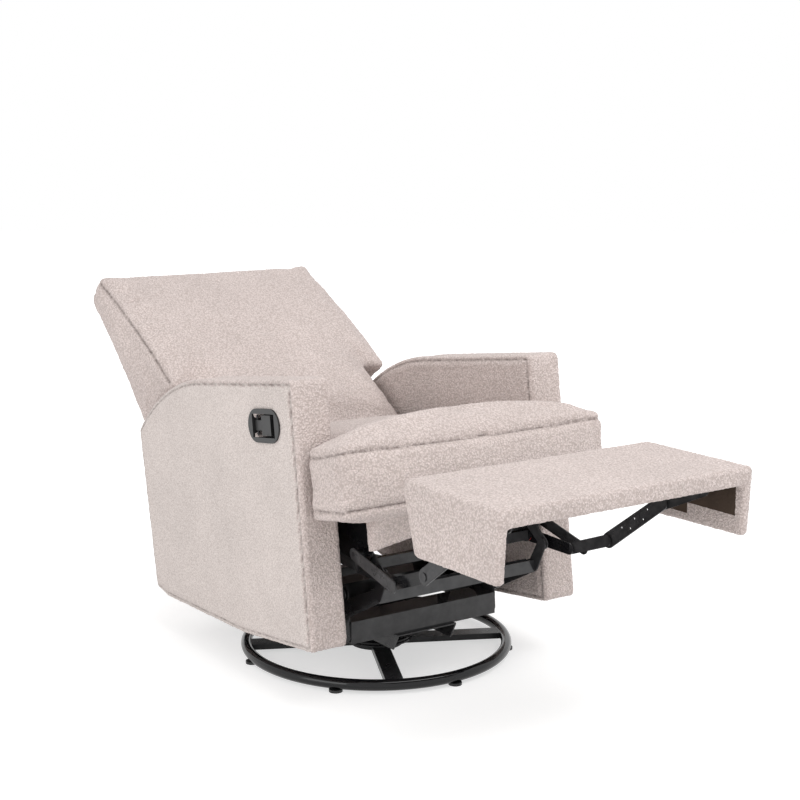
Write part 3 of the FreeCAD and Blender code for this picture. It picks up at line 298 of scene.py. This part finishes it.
black_plastic, tree, output = new_material("black_plastic")
shader = node(tree, "BsdfPrincipled")
coordinates = node(tree, "TexCoord")
spark = node(tree, "TexNoise", Scale=1500.0, Detail=2.0)
rubbed = node(tree, "TexNoise", Scale=45.0, Detail=4.0)
tree.links.new(coordinates.outputs["Object"], spark.inputs["Vector"])
tree.links.new(coordinates.outputs["Object"], rubbed.inputs["Vector"])
tone = node(tree, "ValToRGB")
tone.color_ramp.elements[0].color = (0.010, 0.010, 0.010, 1)
tone.color_ramp.elements[1].color = (0.020, 0.020, 0.021, 1)
tree.links.new(rubbed.outputs["Fac"], tone.inputs["Fac"])
tree.links.new(tone.outputs["Color"], shader.inputs["Base Color"])
dull = node(tree, "MapRange")
dull.inputs["To Min"].default_value = 0.36
dull.inputs["To Max"].default_value = 0.52
tree.links.new(rubbed.outputs["Fac"], dull.inputs["Value"])
tree.links.new(dull.outputs["Result"], shader.inputs["Roughness"])
relief = node(tree, "Bump", Strength=0.18, Distance=0.0002)
tree.links.new(spark.outputs["Fac"], relief.inputs["Height"])
tree.links.new(relief.outputs["Normal"], shader.inputs["Normal"])
tree.links.new(shader.outputs["BSDF"], output.inputs["Surface"])
finish_nodes(black_plastic, "floor_pads", "handle_bezel", "release_paddle")

# Arms
# Foam-padded boxes: one band of bouclé runs up the front and over the top between two flat side
# panels, and each panel is sewn to the band with a plain seam just inside the edge

loop_group = bpy.data.node_groups.new("boucle_loops", "ShaderNodeTree")
for socket, way in (("Loops per metre", "INPUT"), ("Loop depth", "OUTPUT"), ("Shade", "OUTPUT"),
                    ("Drift", "OUTPUT"), ("Pucker", "OUTPUT")):
    loop_group.interface.new_socket(socket, in_out=way, socket_type="NodeSocketFloat")
inside = node(loop_group, "TexCoord")
entry = loop_group.nodes.new("NodeGroupInput")
leave = loop_group.nodes.new("NodeGroupOutput")
wander = node(loop_group, "TexNoise", Scale=130.0, Detail=2.0)
loop_group.links.new(inside.outputs["Object"], wander.inputs["Vector"])
centred = node(loop_group, "VectorMath", operation="SUBTRACT")
centred.inputs[1].default_value = (0.5, 0.5, 0.5)
loop_group.links.new(wander.outputs["Color"], centred.inputs[0])
pushed = node(loop_group, "VectorMath", operation="SCALE")
pushed.inputs["Scale"].default_value = 0.006
loop_group.links.new(centred.outputs["Vector"], pushed.inputs[0])
shifted = node(loop_group, "VectorMath", operation="ADD")
loop_group.links.new(inside.outputs["Object"], shifted.inputs[0])
loop_group.links.new(pushed.outputs["Vector"], shifted.inputs[1])
curls = node(loop_group, "TexVoronoi", feature="SMOOTH_F1", Smoothness=0.35)
loop_group.links.new(shifted.outputs["Vector"], curls.inputs["Vector"])
loop_group.links.new(entry.outputs["Loops per metre"], curls.inputs["Scale"])
fibre = node(loop_group, "TexNoise", Scale=1400.0, Detail=3.0, Roughness=0.7)
loop_group.links.new(shifted.outputs["Vector"], fibre.inputs["Vector"])
round_top = node(loop_group, "MapRange")
round_top.inputs["From Min"].default_value = 0.0
round_top.inputs["From Max"].default_value = 0.75
round_top.inputs["To Min"].default_value = 1.0
round_top.inputs["To Max"].default_value = 0.0
loop_group.links.new(curls.outputs["Distance"], round_top.inputs["Value"])
fuzzy = node(loop_group, "Math", operation="MULTIPLY")
fuzzy.inputs[1].default_value = 0.35
loop_group.links.new(fibre.outputs["Fac"], fuzzy.inputs[0])
depth = node(loop_group, "Math", operation="ADD")
loop_group.links.new(round_top.outputs["Result"], depth.inputs[0])
loop_group.links.new(fuzzy.outputs[0], depth.inputs[1])
loop_group.links.new(depth.outputs[0], leave.inputs["Loop depth"])
shade = node(loop_group, "MapRange")
shade.inputs["From Min"].default_value = 0.25
shade.inputs["From Max"].default_value = 1.1
loop_group.links.new(depth.outputs[0], shade.inputs["Value"])
loop_group.links.new(shade.outputs["Result"], leave.inputs["Shade"])
drift = node(loop_group, "TexNoise", Scale=7.0, Detail=5.0, Roughness=0.6)
loop_group.links.new(inside.outputs["Object"], drift.inputs["Vector"])
loop_group.links.new(drift.outputs["Fac"], leave.inputs["Drift"])
pucker = node(loop_group, "TexNoise", Scale=95.0, Detail=2.0)
loop_group.links.new(inside.outputs["Object"], pucker.inputs["Vector"])
loop_group.links.new(pucker.outputs["Fac"], leave.inputs["Pucker"])


def boucle(name, light, dark, loops, relief_height, strength=0.8):
    """Looped pile, brushed unevenly: pale curls darkened towards the hollows between them as painted
    shade, and painted shade along the seams.
    """
    material, tree, output = new_material(name)
    shader = node(tree, "BsdfPrincipled", Roughness=0.95)
    shader.inputs["Specular IOR Level"].default_value = 0.15
    shader.inputs["Sheen Weight"].default_value = 0.18
    shader.inputs["Sheen Roughness"].default_value = 0.55
    group = tree.nodes.new("ShaderNodeGroup")
    group.node_tree = loop_group
    group.inputs["Loops per metre"].default_value = loops
    # The colour runs from light on the curls to dark in the hollows between them: painted shade, keyed
    # to the loop depth that also drives the bump.
    pile = node(tree, "Mix", data_type="RGBA")
    pile.inputs["A"].default_value = (*dark, 1)
    pile.inputs["B"].default_value = (*light, 1)
    tree.links.new(group.outputs["Shade"], pile.inputs["Factor"])
    brushed = node(tree, "MapRange")
    brushed.inputs["From Min"].default_value = 0.3
    brushed.inputs["From Max"].default_value = 0.7
    brushed.inputs["To Min"].default_value = 0.93
    brushed.inputs["To Max"].default_value = 1.04
    tree.links.new(group.outputs["Drift"], brushed.inputs["Value"])
    worn = node(tree, "Mix", data_type="RGBA", blend_type="MULTIPLY")
    worn.inputs["Factor"].default_value = 1.0
    tree.links.new(pile.outputs["Result"], worn.inputs["A"])
    tree.links.new(brushed.outputs["Result"], worn.inputs["B"])
    seam_mark = node(tree, "Attribute", attribute_name="seam")
    # The seams darken to a deep brown, broken into dashes by the pucker noise: painted shade in the
    # groove that sew pulls in.
    seam_shaded = node(tree, "Mix", data_type="RGBA")
    seam_shaded.inputs["B"].default_value = (dark[0] * 0.30, dark[1] * 0.28, dark[2] * 0.27, 1)
    seam_shade_share = node(tree, "Math", operation="MULTIPLY")
    seam_shade_dashes = node(tree, "MapRange")
    seam_shade_dashes.inputs["From Min"].default_value = 0.35
    seam_shade_dashes.inputs["From Max"].default_value = 0.65
    seam_shade_dashes.inputs["To Min"].default_value = 0.25
    seam_shade_dashes.inputs["To Max"].default_value = 0.85
    tree.links.new(group.outputs["Pucker"], seam_shade_dashes.inputs["Value"])
    tree.links.new(seam_mark.outputs["Fac"], seam_shade_share.inputs[0])
    tree.links.new(seam_shade_dashes.outputs["Result"], seam_shade_share.inputs[1])
    tree.links.new(seam_shade_share.outputs[0], seam_shaded.inputs["Factor"])
    tree.links.new(worn.outputs["Result"], seam_shaded.inputs["A"])
    tree.links.new(seam_shaded.outputs["Result"], shader.inputs["Base Color"])
    relief = node(tree, "Bump", Strength=strength, Distance=relief_height)
    tree.links.new(group.outputs["Loop depth"], relief.inputs["Height"])
    tree.links.new(relief.outputs["Normal"], shader.inputs["Normal"])
    tree.links.new(shader.outputs["BSDF"], output.inputs["Surface"])
    return material


pink_boucle = boucle("blush_boucle", (0.81, 0.71, 0.685), (0.50, 0.425, 0.40), 235.0, 0.0026, 0.8)
# The side panels' copy has finer, shallower loops of its own, and a greyer, darker light colour than the
# band: painted shade on the faces turned away from the light.
side_panel_shaded_boucle = boucle("arm_side_panel_shaded_boucle", (0.765, 0.695, 0.665), (0.52, 0.46, 0.435), 300.0, 0.0016, 0.6)

lean = Matrix.Translation((0.295, 0, 0.1377)) @ Matrix.Rotation(math.radians(-7.81), 4, "Y")


def new_piece(name, mesh_in_hand, place=None):
    """Turn a bmesh into an object, with its place moved into the mesh."""
    bmesh.ops.recalc_face_normals(mesh_in_hand, faces=mesh_in_hand.faces)
    if place is not None:
        bmesh.ops.transform(mesh_in_hand, matrix=place, verts=mesh_in_hand.verts)
    data = bpy.data.meshes.new(name)
    mesh_in_hand.to_mesh(data)
    mesh_in_hand.free()
    piece = bpy.data.objects.new(name, data)
    scene.collection.objects.link(piece)
    return piece


def apply_modifiers(piece):
    """Keep what the modifiers make, and drop them."""
    bpy.context.view_layer.update()
    graph = bpy.context.evaluated_depsgraph_get()
    made = bpy.data.meshes.new_from_object(piece.evaluated_get(graph))
    piece.modifiers.clear()
    old = piece.data
    piece.data = made
    bpy.data.meshes.remove(old)


def remesh(piece, size, relax=6):
    """Even quads all over, with the corners eased."""
    voxels = piece.modifiers.new("even", "REMESH")
    voxels.mode = "VOXEL"
    voxels.voxel_size = size
    ease = piece.modifiers.new("ease", "SMOOTH")
    ease.iterations = relax
    ease.factor = 0.5
    apply_modifiers(piece)


def points_of(piece):
    flat = np.empty(len(piece.data.vertices) * 3, np.float32)
    piece.data.vertices.foreach_get("co", flat)
    return flat.reshape(-1, 3).astype(float)


def set_points(piece, points):
    piece.data.vertices.foreach_set("co", points.astype(np.float32).ravel())
    piece.data.update()


def normals_of(piece):
    flat = np.empty(len(piece.data.vertices) * 3, np.float32)
    piece.data.vertices.foreach_get("normal", flat)
    return flat.reshape(-1, 3).astype(float)


def laid_on(piece, line, step=0.010):
    """Lay a line on the cover: short steps, each moved to the nearest place on the surface."""
    mesh = piece.data
    tree = BVHTree.FromPolygons([v.co for v in mesh.vertices], [p.vertices for p in mesh.polygons])
    laid = []
    for start, end in zip(line, line[1:]):
        start, end = Vector(start), Vector(end)
        count = max(1, math.ceil((end - start).length / step))
        for i in range(count):
            laid.append(tree.find_nearest(start.lerp(end, i / count))[0])
    laid.append(tree.find_nearest(Vector(line[-1]))[0])
    return laid


def sew(piece, lines, width, depth, ridge=0.0):
    """Pull the cover in along each line, and mark it for the painted shade in the seam."""
    points, normals = points_of(piece), normals_of(piece)
    near = np.full(len(points), 9.0)
    for line in [laid_on(piece, line) for line in lines]:
        for start, end in zip(line, line[1:]):
            a, b = np.array(start, float), np.array(end, float)
            run = b - a
            t = np.clip(((points - a) @ run) / max(run @ run, 1e-12), 0, 1)
            near = np.minimum(near, np.linalg.norm(points - a - t[:, None] * run, axis=1))
    pull = np.clip(1 - near / width, 0, 1) ** 2 * depth
    if ridge:
        pull -= ridge * np.exp(-((near - 1.6 * width) / (0.6 * width)) ** 2)
    set_points(piece, points - normals * pull[:, None])
    mark = piece.data.attributes.get("seam") or piece.data.attributes.new("seam", "FLOAT", "POINT")
    old = np.empty(len(points), np.float32)
    mark.data.foreach_get("value", old)
    new = np.clip(1.15 - near / (0.38 * width), 0, 1)
    mark.data.foreach_set("value", np.maximum(old, new).astype(np.float32))


def raise_nap(piece, height, per_metre=210.0):
    """Uneven pile: each point stands a little proud or shy of the cover."""
    points, normals = points_of(piece), normals_of(piece)
    apart = Vector((7, 3, 1))
    lift = np.array([noise.noise(Vector(p) * per_metre)
                     + 0.5 * noise.noise(Vector(p) * per_metre * 0.37 + apart) for p in points])
    set_points(piece, points + normals * (lift * height)[:, None])


def new_verts(made):
    """The vertices that an extrusion has added."""
    return [v for v in made["geom"] if isinstance(v, bmesh.types.BMVert)]


def prism(block, outline, start, reach):
    """Add a closed side outline at one distance across, and draw it out sideways."""
    face = block.faces.new([block.verts.new((x, start, z)) for x, z in outline])
    grown = bmesh.ops.extrude_face_region(block, geom=[face])
    bmesh.ops.translate(block, verts=new_verts(grown), vec=(0, reach, 0))


def round_edges(block, edges, offset, segments):
    """Ease the foam's edges before the cover is drawn over it."""
    bmesh.ops.bevel(block, geom=edges, offset=offset, segments=segments, profile=0.5, affect="EDGES",
                    material=-1)


def clothe(piece, *cloths):
    """Shade a cover smoothly and give it its cloths, the main one first."""
    piece.data.polygons.foreach_set("use_smooth", np.ones(len(piece.data.polygons), bool))
    piece.data.materials.clear()
    for cloth in cloths:
        piece.data.materials.append(cloth)


def arm_outline(inset):
    """Points round an arm's side, in the carriage's frame, drawn in from the edge by an even margin."""
    flat_end, height, shoulder_radius, shoulder_angle = -0.414, 0.565, 0.52866, math.radians(39.89)
    outline = bmesh.new()
    corner = outline.verts.new((flat_end, 0, height))
    outline.verts.index_update()
    bmesh.ops.spin(outline, geom=[corner], cent=(flat_end, 0, height - shoulder_radius), axis=(0, -1, 0),
                   angle=shoulder_angle, steps=14)
    arc = sorted((v.co.copy() for v in outline.verts), key=lambda p: -p.x)
    outline.free()
    underside = ((-0.727, 0, 0.059), (-0.672, 0, 0.040), (-0.300, 0, 0.003), (0, 0, 0))
    loop = [Vector((0, 0, height))] + arc + [Vector(p) for p in underside]
    shrunk = []
    for i, here in enumerate(loop):
        before, after = loop[i - 1], loop[(i + 1) % len(loop)]
        a, b = (here - before).normalized(), (after - here).normalized()
        na, nb = Vector((a.z, 0, -a.x)), Vector((b.z, 0, -b.x))
        middle = (na + nb).normalized()
        shrunk.append(here - middle * (inset / max(middle.dot(na), 0.3)))
    return shrunk


def lift_line(points, y):
    """Carry points in the carriage's frame to the floor's frame at one distance across."""
    return [tuple(lean @ Vector((p.x, y, p.z))) for p in points]


def make_arm(name, side):
    """One arm's cover; side is 1 for the left arm and -1 for the right arm, which has the cup."""
    inner, outer, inset = 0.263, 0.358, 0.0004
    block = bmesh.new()
    prism(block, [(p.x, p.z) for p in arm_outline(inset)], inner + 2 * inset, outer - inner - 2 * inset)
    if side < 0:
        bmesh.ops.scale(block, verts=block.verts, vec=(1, -1, 1))
    bmesh.ops.recalc_face_normals(block, faces=block.faces)
    rims = [e for e in block.edges if abs(e.verts[0].co.y - e.verts[1].co.y) < 1e-4]
    fronts = [e for e in block.edges if e.verts[0].co.x > -0.01 and e.verts[1].co.x > -0.01
              and abs(e.verts[0].co.z - e.verts[1].co.z) < 1e-4]
    round_edges(block, rims + fronts, 0.011, 4)
    arm = new_piece(name, block, lean)
    if side < 0:
        cut_cup_room(arm, side * outer)
    remesh(arm, 0.0045, 4)
    edge = arm_outline(0.009)
    sew(arm, [lift_line(edge + edge[:1], side * y) for y in (inner, outer)], 0.009, 0.0046, 0.0012)
    raise_nap(arm, 0.0010)
    clothe(arm, pink_boucle, side_panel_shaded_boucle)
    # The outer side panels take the copy with painted shade.
    back_to_flat = lean.inverted()
    for polygon in arm.data.polygons:
        spot = back_to_flat @ polygon.center
        on_panel = side * polygon.normal.y > 0.8 and abs(spot.y) > outer - 0.006
        if on_panel and spot.x < -0.009 and spot.z < 0.556:
            polygon.material_index = 1
    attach(arm, "carriage")
    return arm


def cut_cup_room(arm, face_y):
    """Cut room for the cup of the release handle, an oval hole in the arm's outer face."""
    handle_x, handle_z, wide, high = -0.118, 0.469, 0.106, 0.064
    drill = bmesh.new()
    bmesh.ops.create_cone(drill, cap_ends=True, segments=48, radius1=0.5, radius2=0.5, depth=0.040)
    place = Matrix.Translation((handle_x, face_y, handle_z)) @ Matrix.Rotation(math.radians(90), 4, "X")
    bmesh.ops.transform(drill, verts=drill.verts, matrix=place @ Matrix.Diagonal((wide, high, 1.35, 1)))
    room = new_piece("cup_room", drill, lean)
    hollow = arm.modifiers.new("cup_room", "BOOLEAN")
    hollow.object = room
    hollow.solver = "EXACT"
    apply_modifiers(arm)
    bpy.data.objects.remove(room)


left_arm = make_arm("arm_cover_left", 1)
right_arm = make_arm("arm_cover_right", -1)
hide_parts("arm_left")
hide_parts("arm_right")

# Seat cushion
# T-shaped foam block in a boxed cover, plump in the middle, with a seam round the top and the
# bottom of the front band; its ears reach across the fronts of the arms


def plump(piece, pressure, cap, frames=20):
    """Fill the cover with air for a moment, and limit how far it may swell."""
    before = points_of(piece)
    cover = piece.modifiers.new("cover", "CLOTH")
    cover.settings.use_pressure = True
    cover.settings.uniform_pressure_force = pressure
    cover.settings.effector_weights.gravity = 0
    cover.settings.quality = 5
    cover.settings.mass = 0.3
    cover.settings.tension_stiffness = 15
    cover.settings.compression_stiffness = 15
    cover.settings.bending_stiffness = 0.5
    cover.collision_settings.use_collision = False
    cover.point_cache.frame_start = 1
    cover.point_cache.frame_end = frames
    for count in range(1, frames + 1):
        scene.frame_set(count)
    apply_modifiers(piece)
    scene.frame_set(1)
    moved = points_of(piece) - before
    far = np.linalg.norm(moved, axis=1)
    share = np.minimum(1, cap / np.maximum(far, 1e-9))
    set_points(piece, before + moved * share[:, None])


def box_block(block, low, high):
    """Add a box between two corners."""
    made = bmesh.ops.create_cube(block, size=1)["verts"]
    size = Vector(high) - Vector(low)
    bmesh.ops.scale(block, verts=made, vec=size)
    bmesh.ops.translate(block, verts=made, vec=(Vector(high) + Vector(low)) / 2)
    return made


block = bmesh.new()
box_block(block, (-0.460, -0.236, 0.270), (-0.380, 0.236, 0.388))
box_block(block, (-0.392, -0.250, 0.270), (0.060, 0.250, 0.402))
ears = box_block(block, (0.0135, -0.346, 0.272), (0.159, 0.346, 0.414))
for vert in ears:
    if vert.co.x > 0.1:
        vert.co.z += 0.012 if vert.co.z < 0.3 else 0.016
round_edges(block, [e for e in block.edges if len(e.link_faces) == 2], 0.008, 2)
seat = new_piece("seat_cushion_cover", block)
remesh(seat, 0.007, 4)
points = points_of(seat)
top = points[:, 2] > 0.36
x, y = points[:, 0], points[:, 1]
forward = np.clip((x + 0.46) / 0.62, 0, 1)
across = np.clip(1 - (y / 0.345) ** 2, 0, 1) ** 0.7
crown = (0.018 + 0.034 * forward) * across * np.clip((0.160 - x) / 0.05, 0, 1) ** 0.6
points[:, 2] += np.where(top, crown * np.clip((points[:, 2] - 0.36) / 0.03, 0, 1), 0)
set_points(seat, points)
plump(seat, 4.0, 0.012)
finer = seat.modifiers.new("finer", "SUBSURF")
finer.levels = finer.render_levels = 1
apply_modifiers(seat)
# Hold the swell over the springs and between the arms: the rear tongue, the middle and the ears
points = points_of(seat)
points[:, 2] = np.maximum(points[:, 2], 0.2700)
points[:, 0] = np.maximum(points[:, 0], -0.4615)
narrow = np.where(points[:, 0] < -0.392, 0.2395, np.where(points[:, 0] < 0.0118, 0.2585, 0.350))
points[:, 1] = np.clip(points[:, 1], -narrow, narrow)
ear = np.abs(points[:, 1]) > 0.260
points[:, 0] = np.where(ear, np.maximum(points[:, 0], 0.0125), points[:, 0])
points[:, 0] = np.minimum(points[:, 0], 0.168)
set_points(seat, points)
seat.data.transform(lean)


def seat_seam(side_heights, corner, middle_heights):
    """A seam round the front band, from the rear of one ear to the rear of the other."""
    half = [(0.013, -0.346, side_heights[0]), (0.140, -0.346, side_heights[1]), corner,
            (0.165, -0.2, middle_heights[0])]
    other = [(x, -y, z) for x, y, z in reversed(half)]
    return [tuple(lean @ Vector(p)) for p in half + [(0.166, 0, middle_heights[1])] + other]


top_seam = seat_seam((0.404, 0.418), (0.158, -0.336, 0.420), (0.424, 0.426))
low_seam = seat_seam((0.294, 0.299), (0.164, -0.340, 0.300), (0.301, 0.301))
sew(seat, [top_seam, low_seam], 0.011, 0.0060, 0.0016)
raise_nap(seat, 0.0012)
clothe(seat, pink_boucle)
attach(seat, "seat")
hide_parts("seat_cushion")

# Apron under the seat
# A padded strip of the same cloth that hides the front rail, cut away in a low arch

block = bmesh.new()
strip = bmesh.ops.create_grid(block, x_segments=60, y_segments=8, size=0.5)["verts"]
for vert in strip:
    across, up = vert.co.x * 2, vert.co.y + 0.5
    low = 0.204 + 0.023 * (1 - across ** 2)
    vert.co = Vector((0.0960 + 0.030 * up ** 2, across * 0.2485, low + (0.286 - low) * up))
skin = bmesh.ops.extrude_face_region(block, geom=block.faces[:])
for vert in new_verts(skin):
    vert.co.x = 0.0725
apron = new_piece("seat_apron_cover", block, lean)
remesh(apron, 0.0045, 4)
raise_nap(apron, 0.0011)
clothe(apron, pink_boucle)
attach(apron, "seat")
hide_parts("seat_apron")

# Back cushion
# A wedge of foam and fibre over a timber frame: a smooth pillow in front, a boxed side and a flat rear;
# it widens above the arms so that its shoulders cover them

upright = lean @ Matrix.Translation((-0.470, 0, 0.400)) @ Matrix.Rotation(math.radians(-36), 4, "Y")


def back_front(z):
    """The front of the cushion: full at the small of the back, then leaning away to the top edge."""
    return float(np.interp(z, (0, 0.027, 0.127, 0.21, 0.258, 0.39, 0.55, 0.676),
                           (-0.006, -0.009, -0.019, -0.040, -0.056, -0.087, -0.143, -0.196)))


block = bmesh.new()
low = [(-0.252, -0.050), (back_front(0.012), 0.012), (back_front(0.11), 0.11), (back_front(0.21), 0.21),
       (back_front(0.30), 0.30), (-0.252, 0.30)]
high = [(-0.262, 0.244), (back_front(0.222) - 0.004, 0.219),
        *((back_front(z), z) for z in (0.33, 0.44, 0.55, 0.676)), (-0.290, 0.662)]
for outline, half in ((low, 0.250), (high, 0.322)):
    prism(block, outline, -half, 2 * half)
bmesh.ops.recalc_face_normals(block, faces=block.faces)
corners = [e for e in block.edges if len(e.link_faces) == 2 and e.calc_face_angle(0) > 0.4]
round_edges(block, corners, 0.014, 3)
back = new_piece("back_cushion_cover", block)
remesh(back, 0.007, 5)
plump(back, 4.0, 0.014)
finer = back.modifiers.new("finer", "SUBSURF")
finer.levels = finer.render_levels = 1
apply_modifiers(back)
# Hold the rear flat, and the sides between the arms up to the wings that pass over them
points = points_of(back)
points[:, 0] = np.maximum(points[:, 0], -0.296)
points[:, 0] = np.where(points[:, 2] < 0.23, np.maximum(points[:, 0], -0.259), points[:, 0])
wing_low = 0.214 + 0.026 * np.clip((-points[:, 0] - 0.06) / 0.2, 0, 1)
half = np.where(points[:, 2] > wing_low, 0.333, 0.2555)
points[:, 1] = np.clip(points[:, 1], -half, half)
set_points(back, points)
back.data.transform(upright)
side_seam = []
for side in (-1, 1):
    line = [(back_front(z) - 0.012, side * 0.323, z) for z in (0.240, 0.35, 0.45, 0.55, 0.655)]
    side_seam.append([tuple(upright @ Vector(p)) for p in line])
    rear = [(-0.262, side * 0.322, 0.262), (-0.268, side * 0.322, 0.40), (-0.280, side * 0.322, 0.645)]
    side_seam.append([tuple(upright @ Vector(p)) for p in rear])
sew(back, side_seam, 0.014, 0.0062, 0.0015)
raise_nap(back, 0.0012)
clothe(back, pink_boucle)
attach(back, "back")
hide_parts("back_cushion")

# Panel behind the seat
# A board covered in the same cloth, set between the rear edges of the arms

block = bmesh.new()
panel = [(-0.7250, 0.063), (-0.7115, 0.063), (-0.7276, 0.299), (-0.7412, 0.299)]
prism(block, panel, -0.2625, 0.525)
rear_panel = new_piece("rear_panel_cover", block, lean)
remesh(rear_panel, 0.0045, 2)
raise_nap(rear_panel, 0.0010)
clothe(rear_panel, pink_boucle)
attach(rear_panel, "carriage")
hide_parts("rear_lower_panel")

# Footrest pad
# A thin slab of foam round a board, folded down over both ends; a plain brown lining is tacked
# under the board and inside the flaps, and leaves a border of the cover showing

lining, tree, output = new_material("footrest_lining")
shader = node(tree, "BsdfPrincipled", Roughness=0.9)
shader.inputs["Specular IOR Level"].default_value = 0.2
coordinates = node(tree, "TexCoord")
threads = node(tree, "TexNoise", Scale=1100.0, Detail=2.0)
stains = node(tree, "TexNoise", Scale=14.0, Detail=4.0)
tree.links.new(coordinates.outputs["Object"], threads.inputs["Vector"])
tree.links.new(coordinates.outputs["Object"], stains.inputs["Vector"])
tone = node(tree, "ValToRGB")
tone.color_ramp.elements[0].color = (0.045, 0.030, 0.022, 1)
tone.color_ramp.elements[1].color = (0.085, 0.060, 0.045, 1)
tree.links.new(stains.outputs["Fac"], tone.inputs["Fac"])
tree.links.new(tone.outputs["Color"], shader.inputs["Base Color"])
relief = node(tree, "Bump", Strength=0.4, Distance=0.0004)
tree.links.new(threads.outputs["Fac"], relief.inputs["Height"])
tree.links.new(relief.outputs["Normal"], shader.inputs["Normal"])
tree.links.new(shader.outputs["BSDF"], output.inputs["Surface"])
finish_nodes(lining, "footrest_board")

block = bmesh.new()
box_block(block, (0.5585, -0.3155, 0.5170), (0.8555, 0.3155, 0.5545))
for side in (-1, 1):
    flap = [(0.5590, 0.530), (0.5955, 0.4085), (0.8485, 0.4135), (0.8550, 0.530)]
    prism(block, flap, side * 0.2945, side * 0.0210)
bmesh.ops.recalc_face_normals(block, faces=block.faces)
round_edges(block, block.edges[:], 0.006, 2)
rest = new_piece("footrest_pad_cover", block)
remesh(rest, 0.0045, 5)
raise_nap(rest, 0.0012)
clothe(rest, pink_boucle, lining)
for polygon in rest.data.polygons:
    x, y, z = polygon.center
    inside_flap = polygon.normal.y * y < -0.6 * abs(y) and z > 0.430 + 0.02 * (x > 0.7)
    if inside_flap and 0.596 - (z - 0.411) * 0.20 < x < 0.832:
        polygon.material_index = 1
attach(rest, "footrest")
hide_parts("footrest_pad")
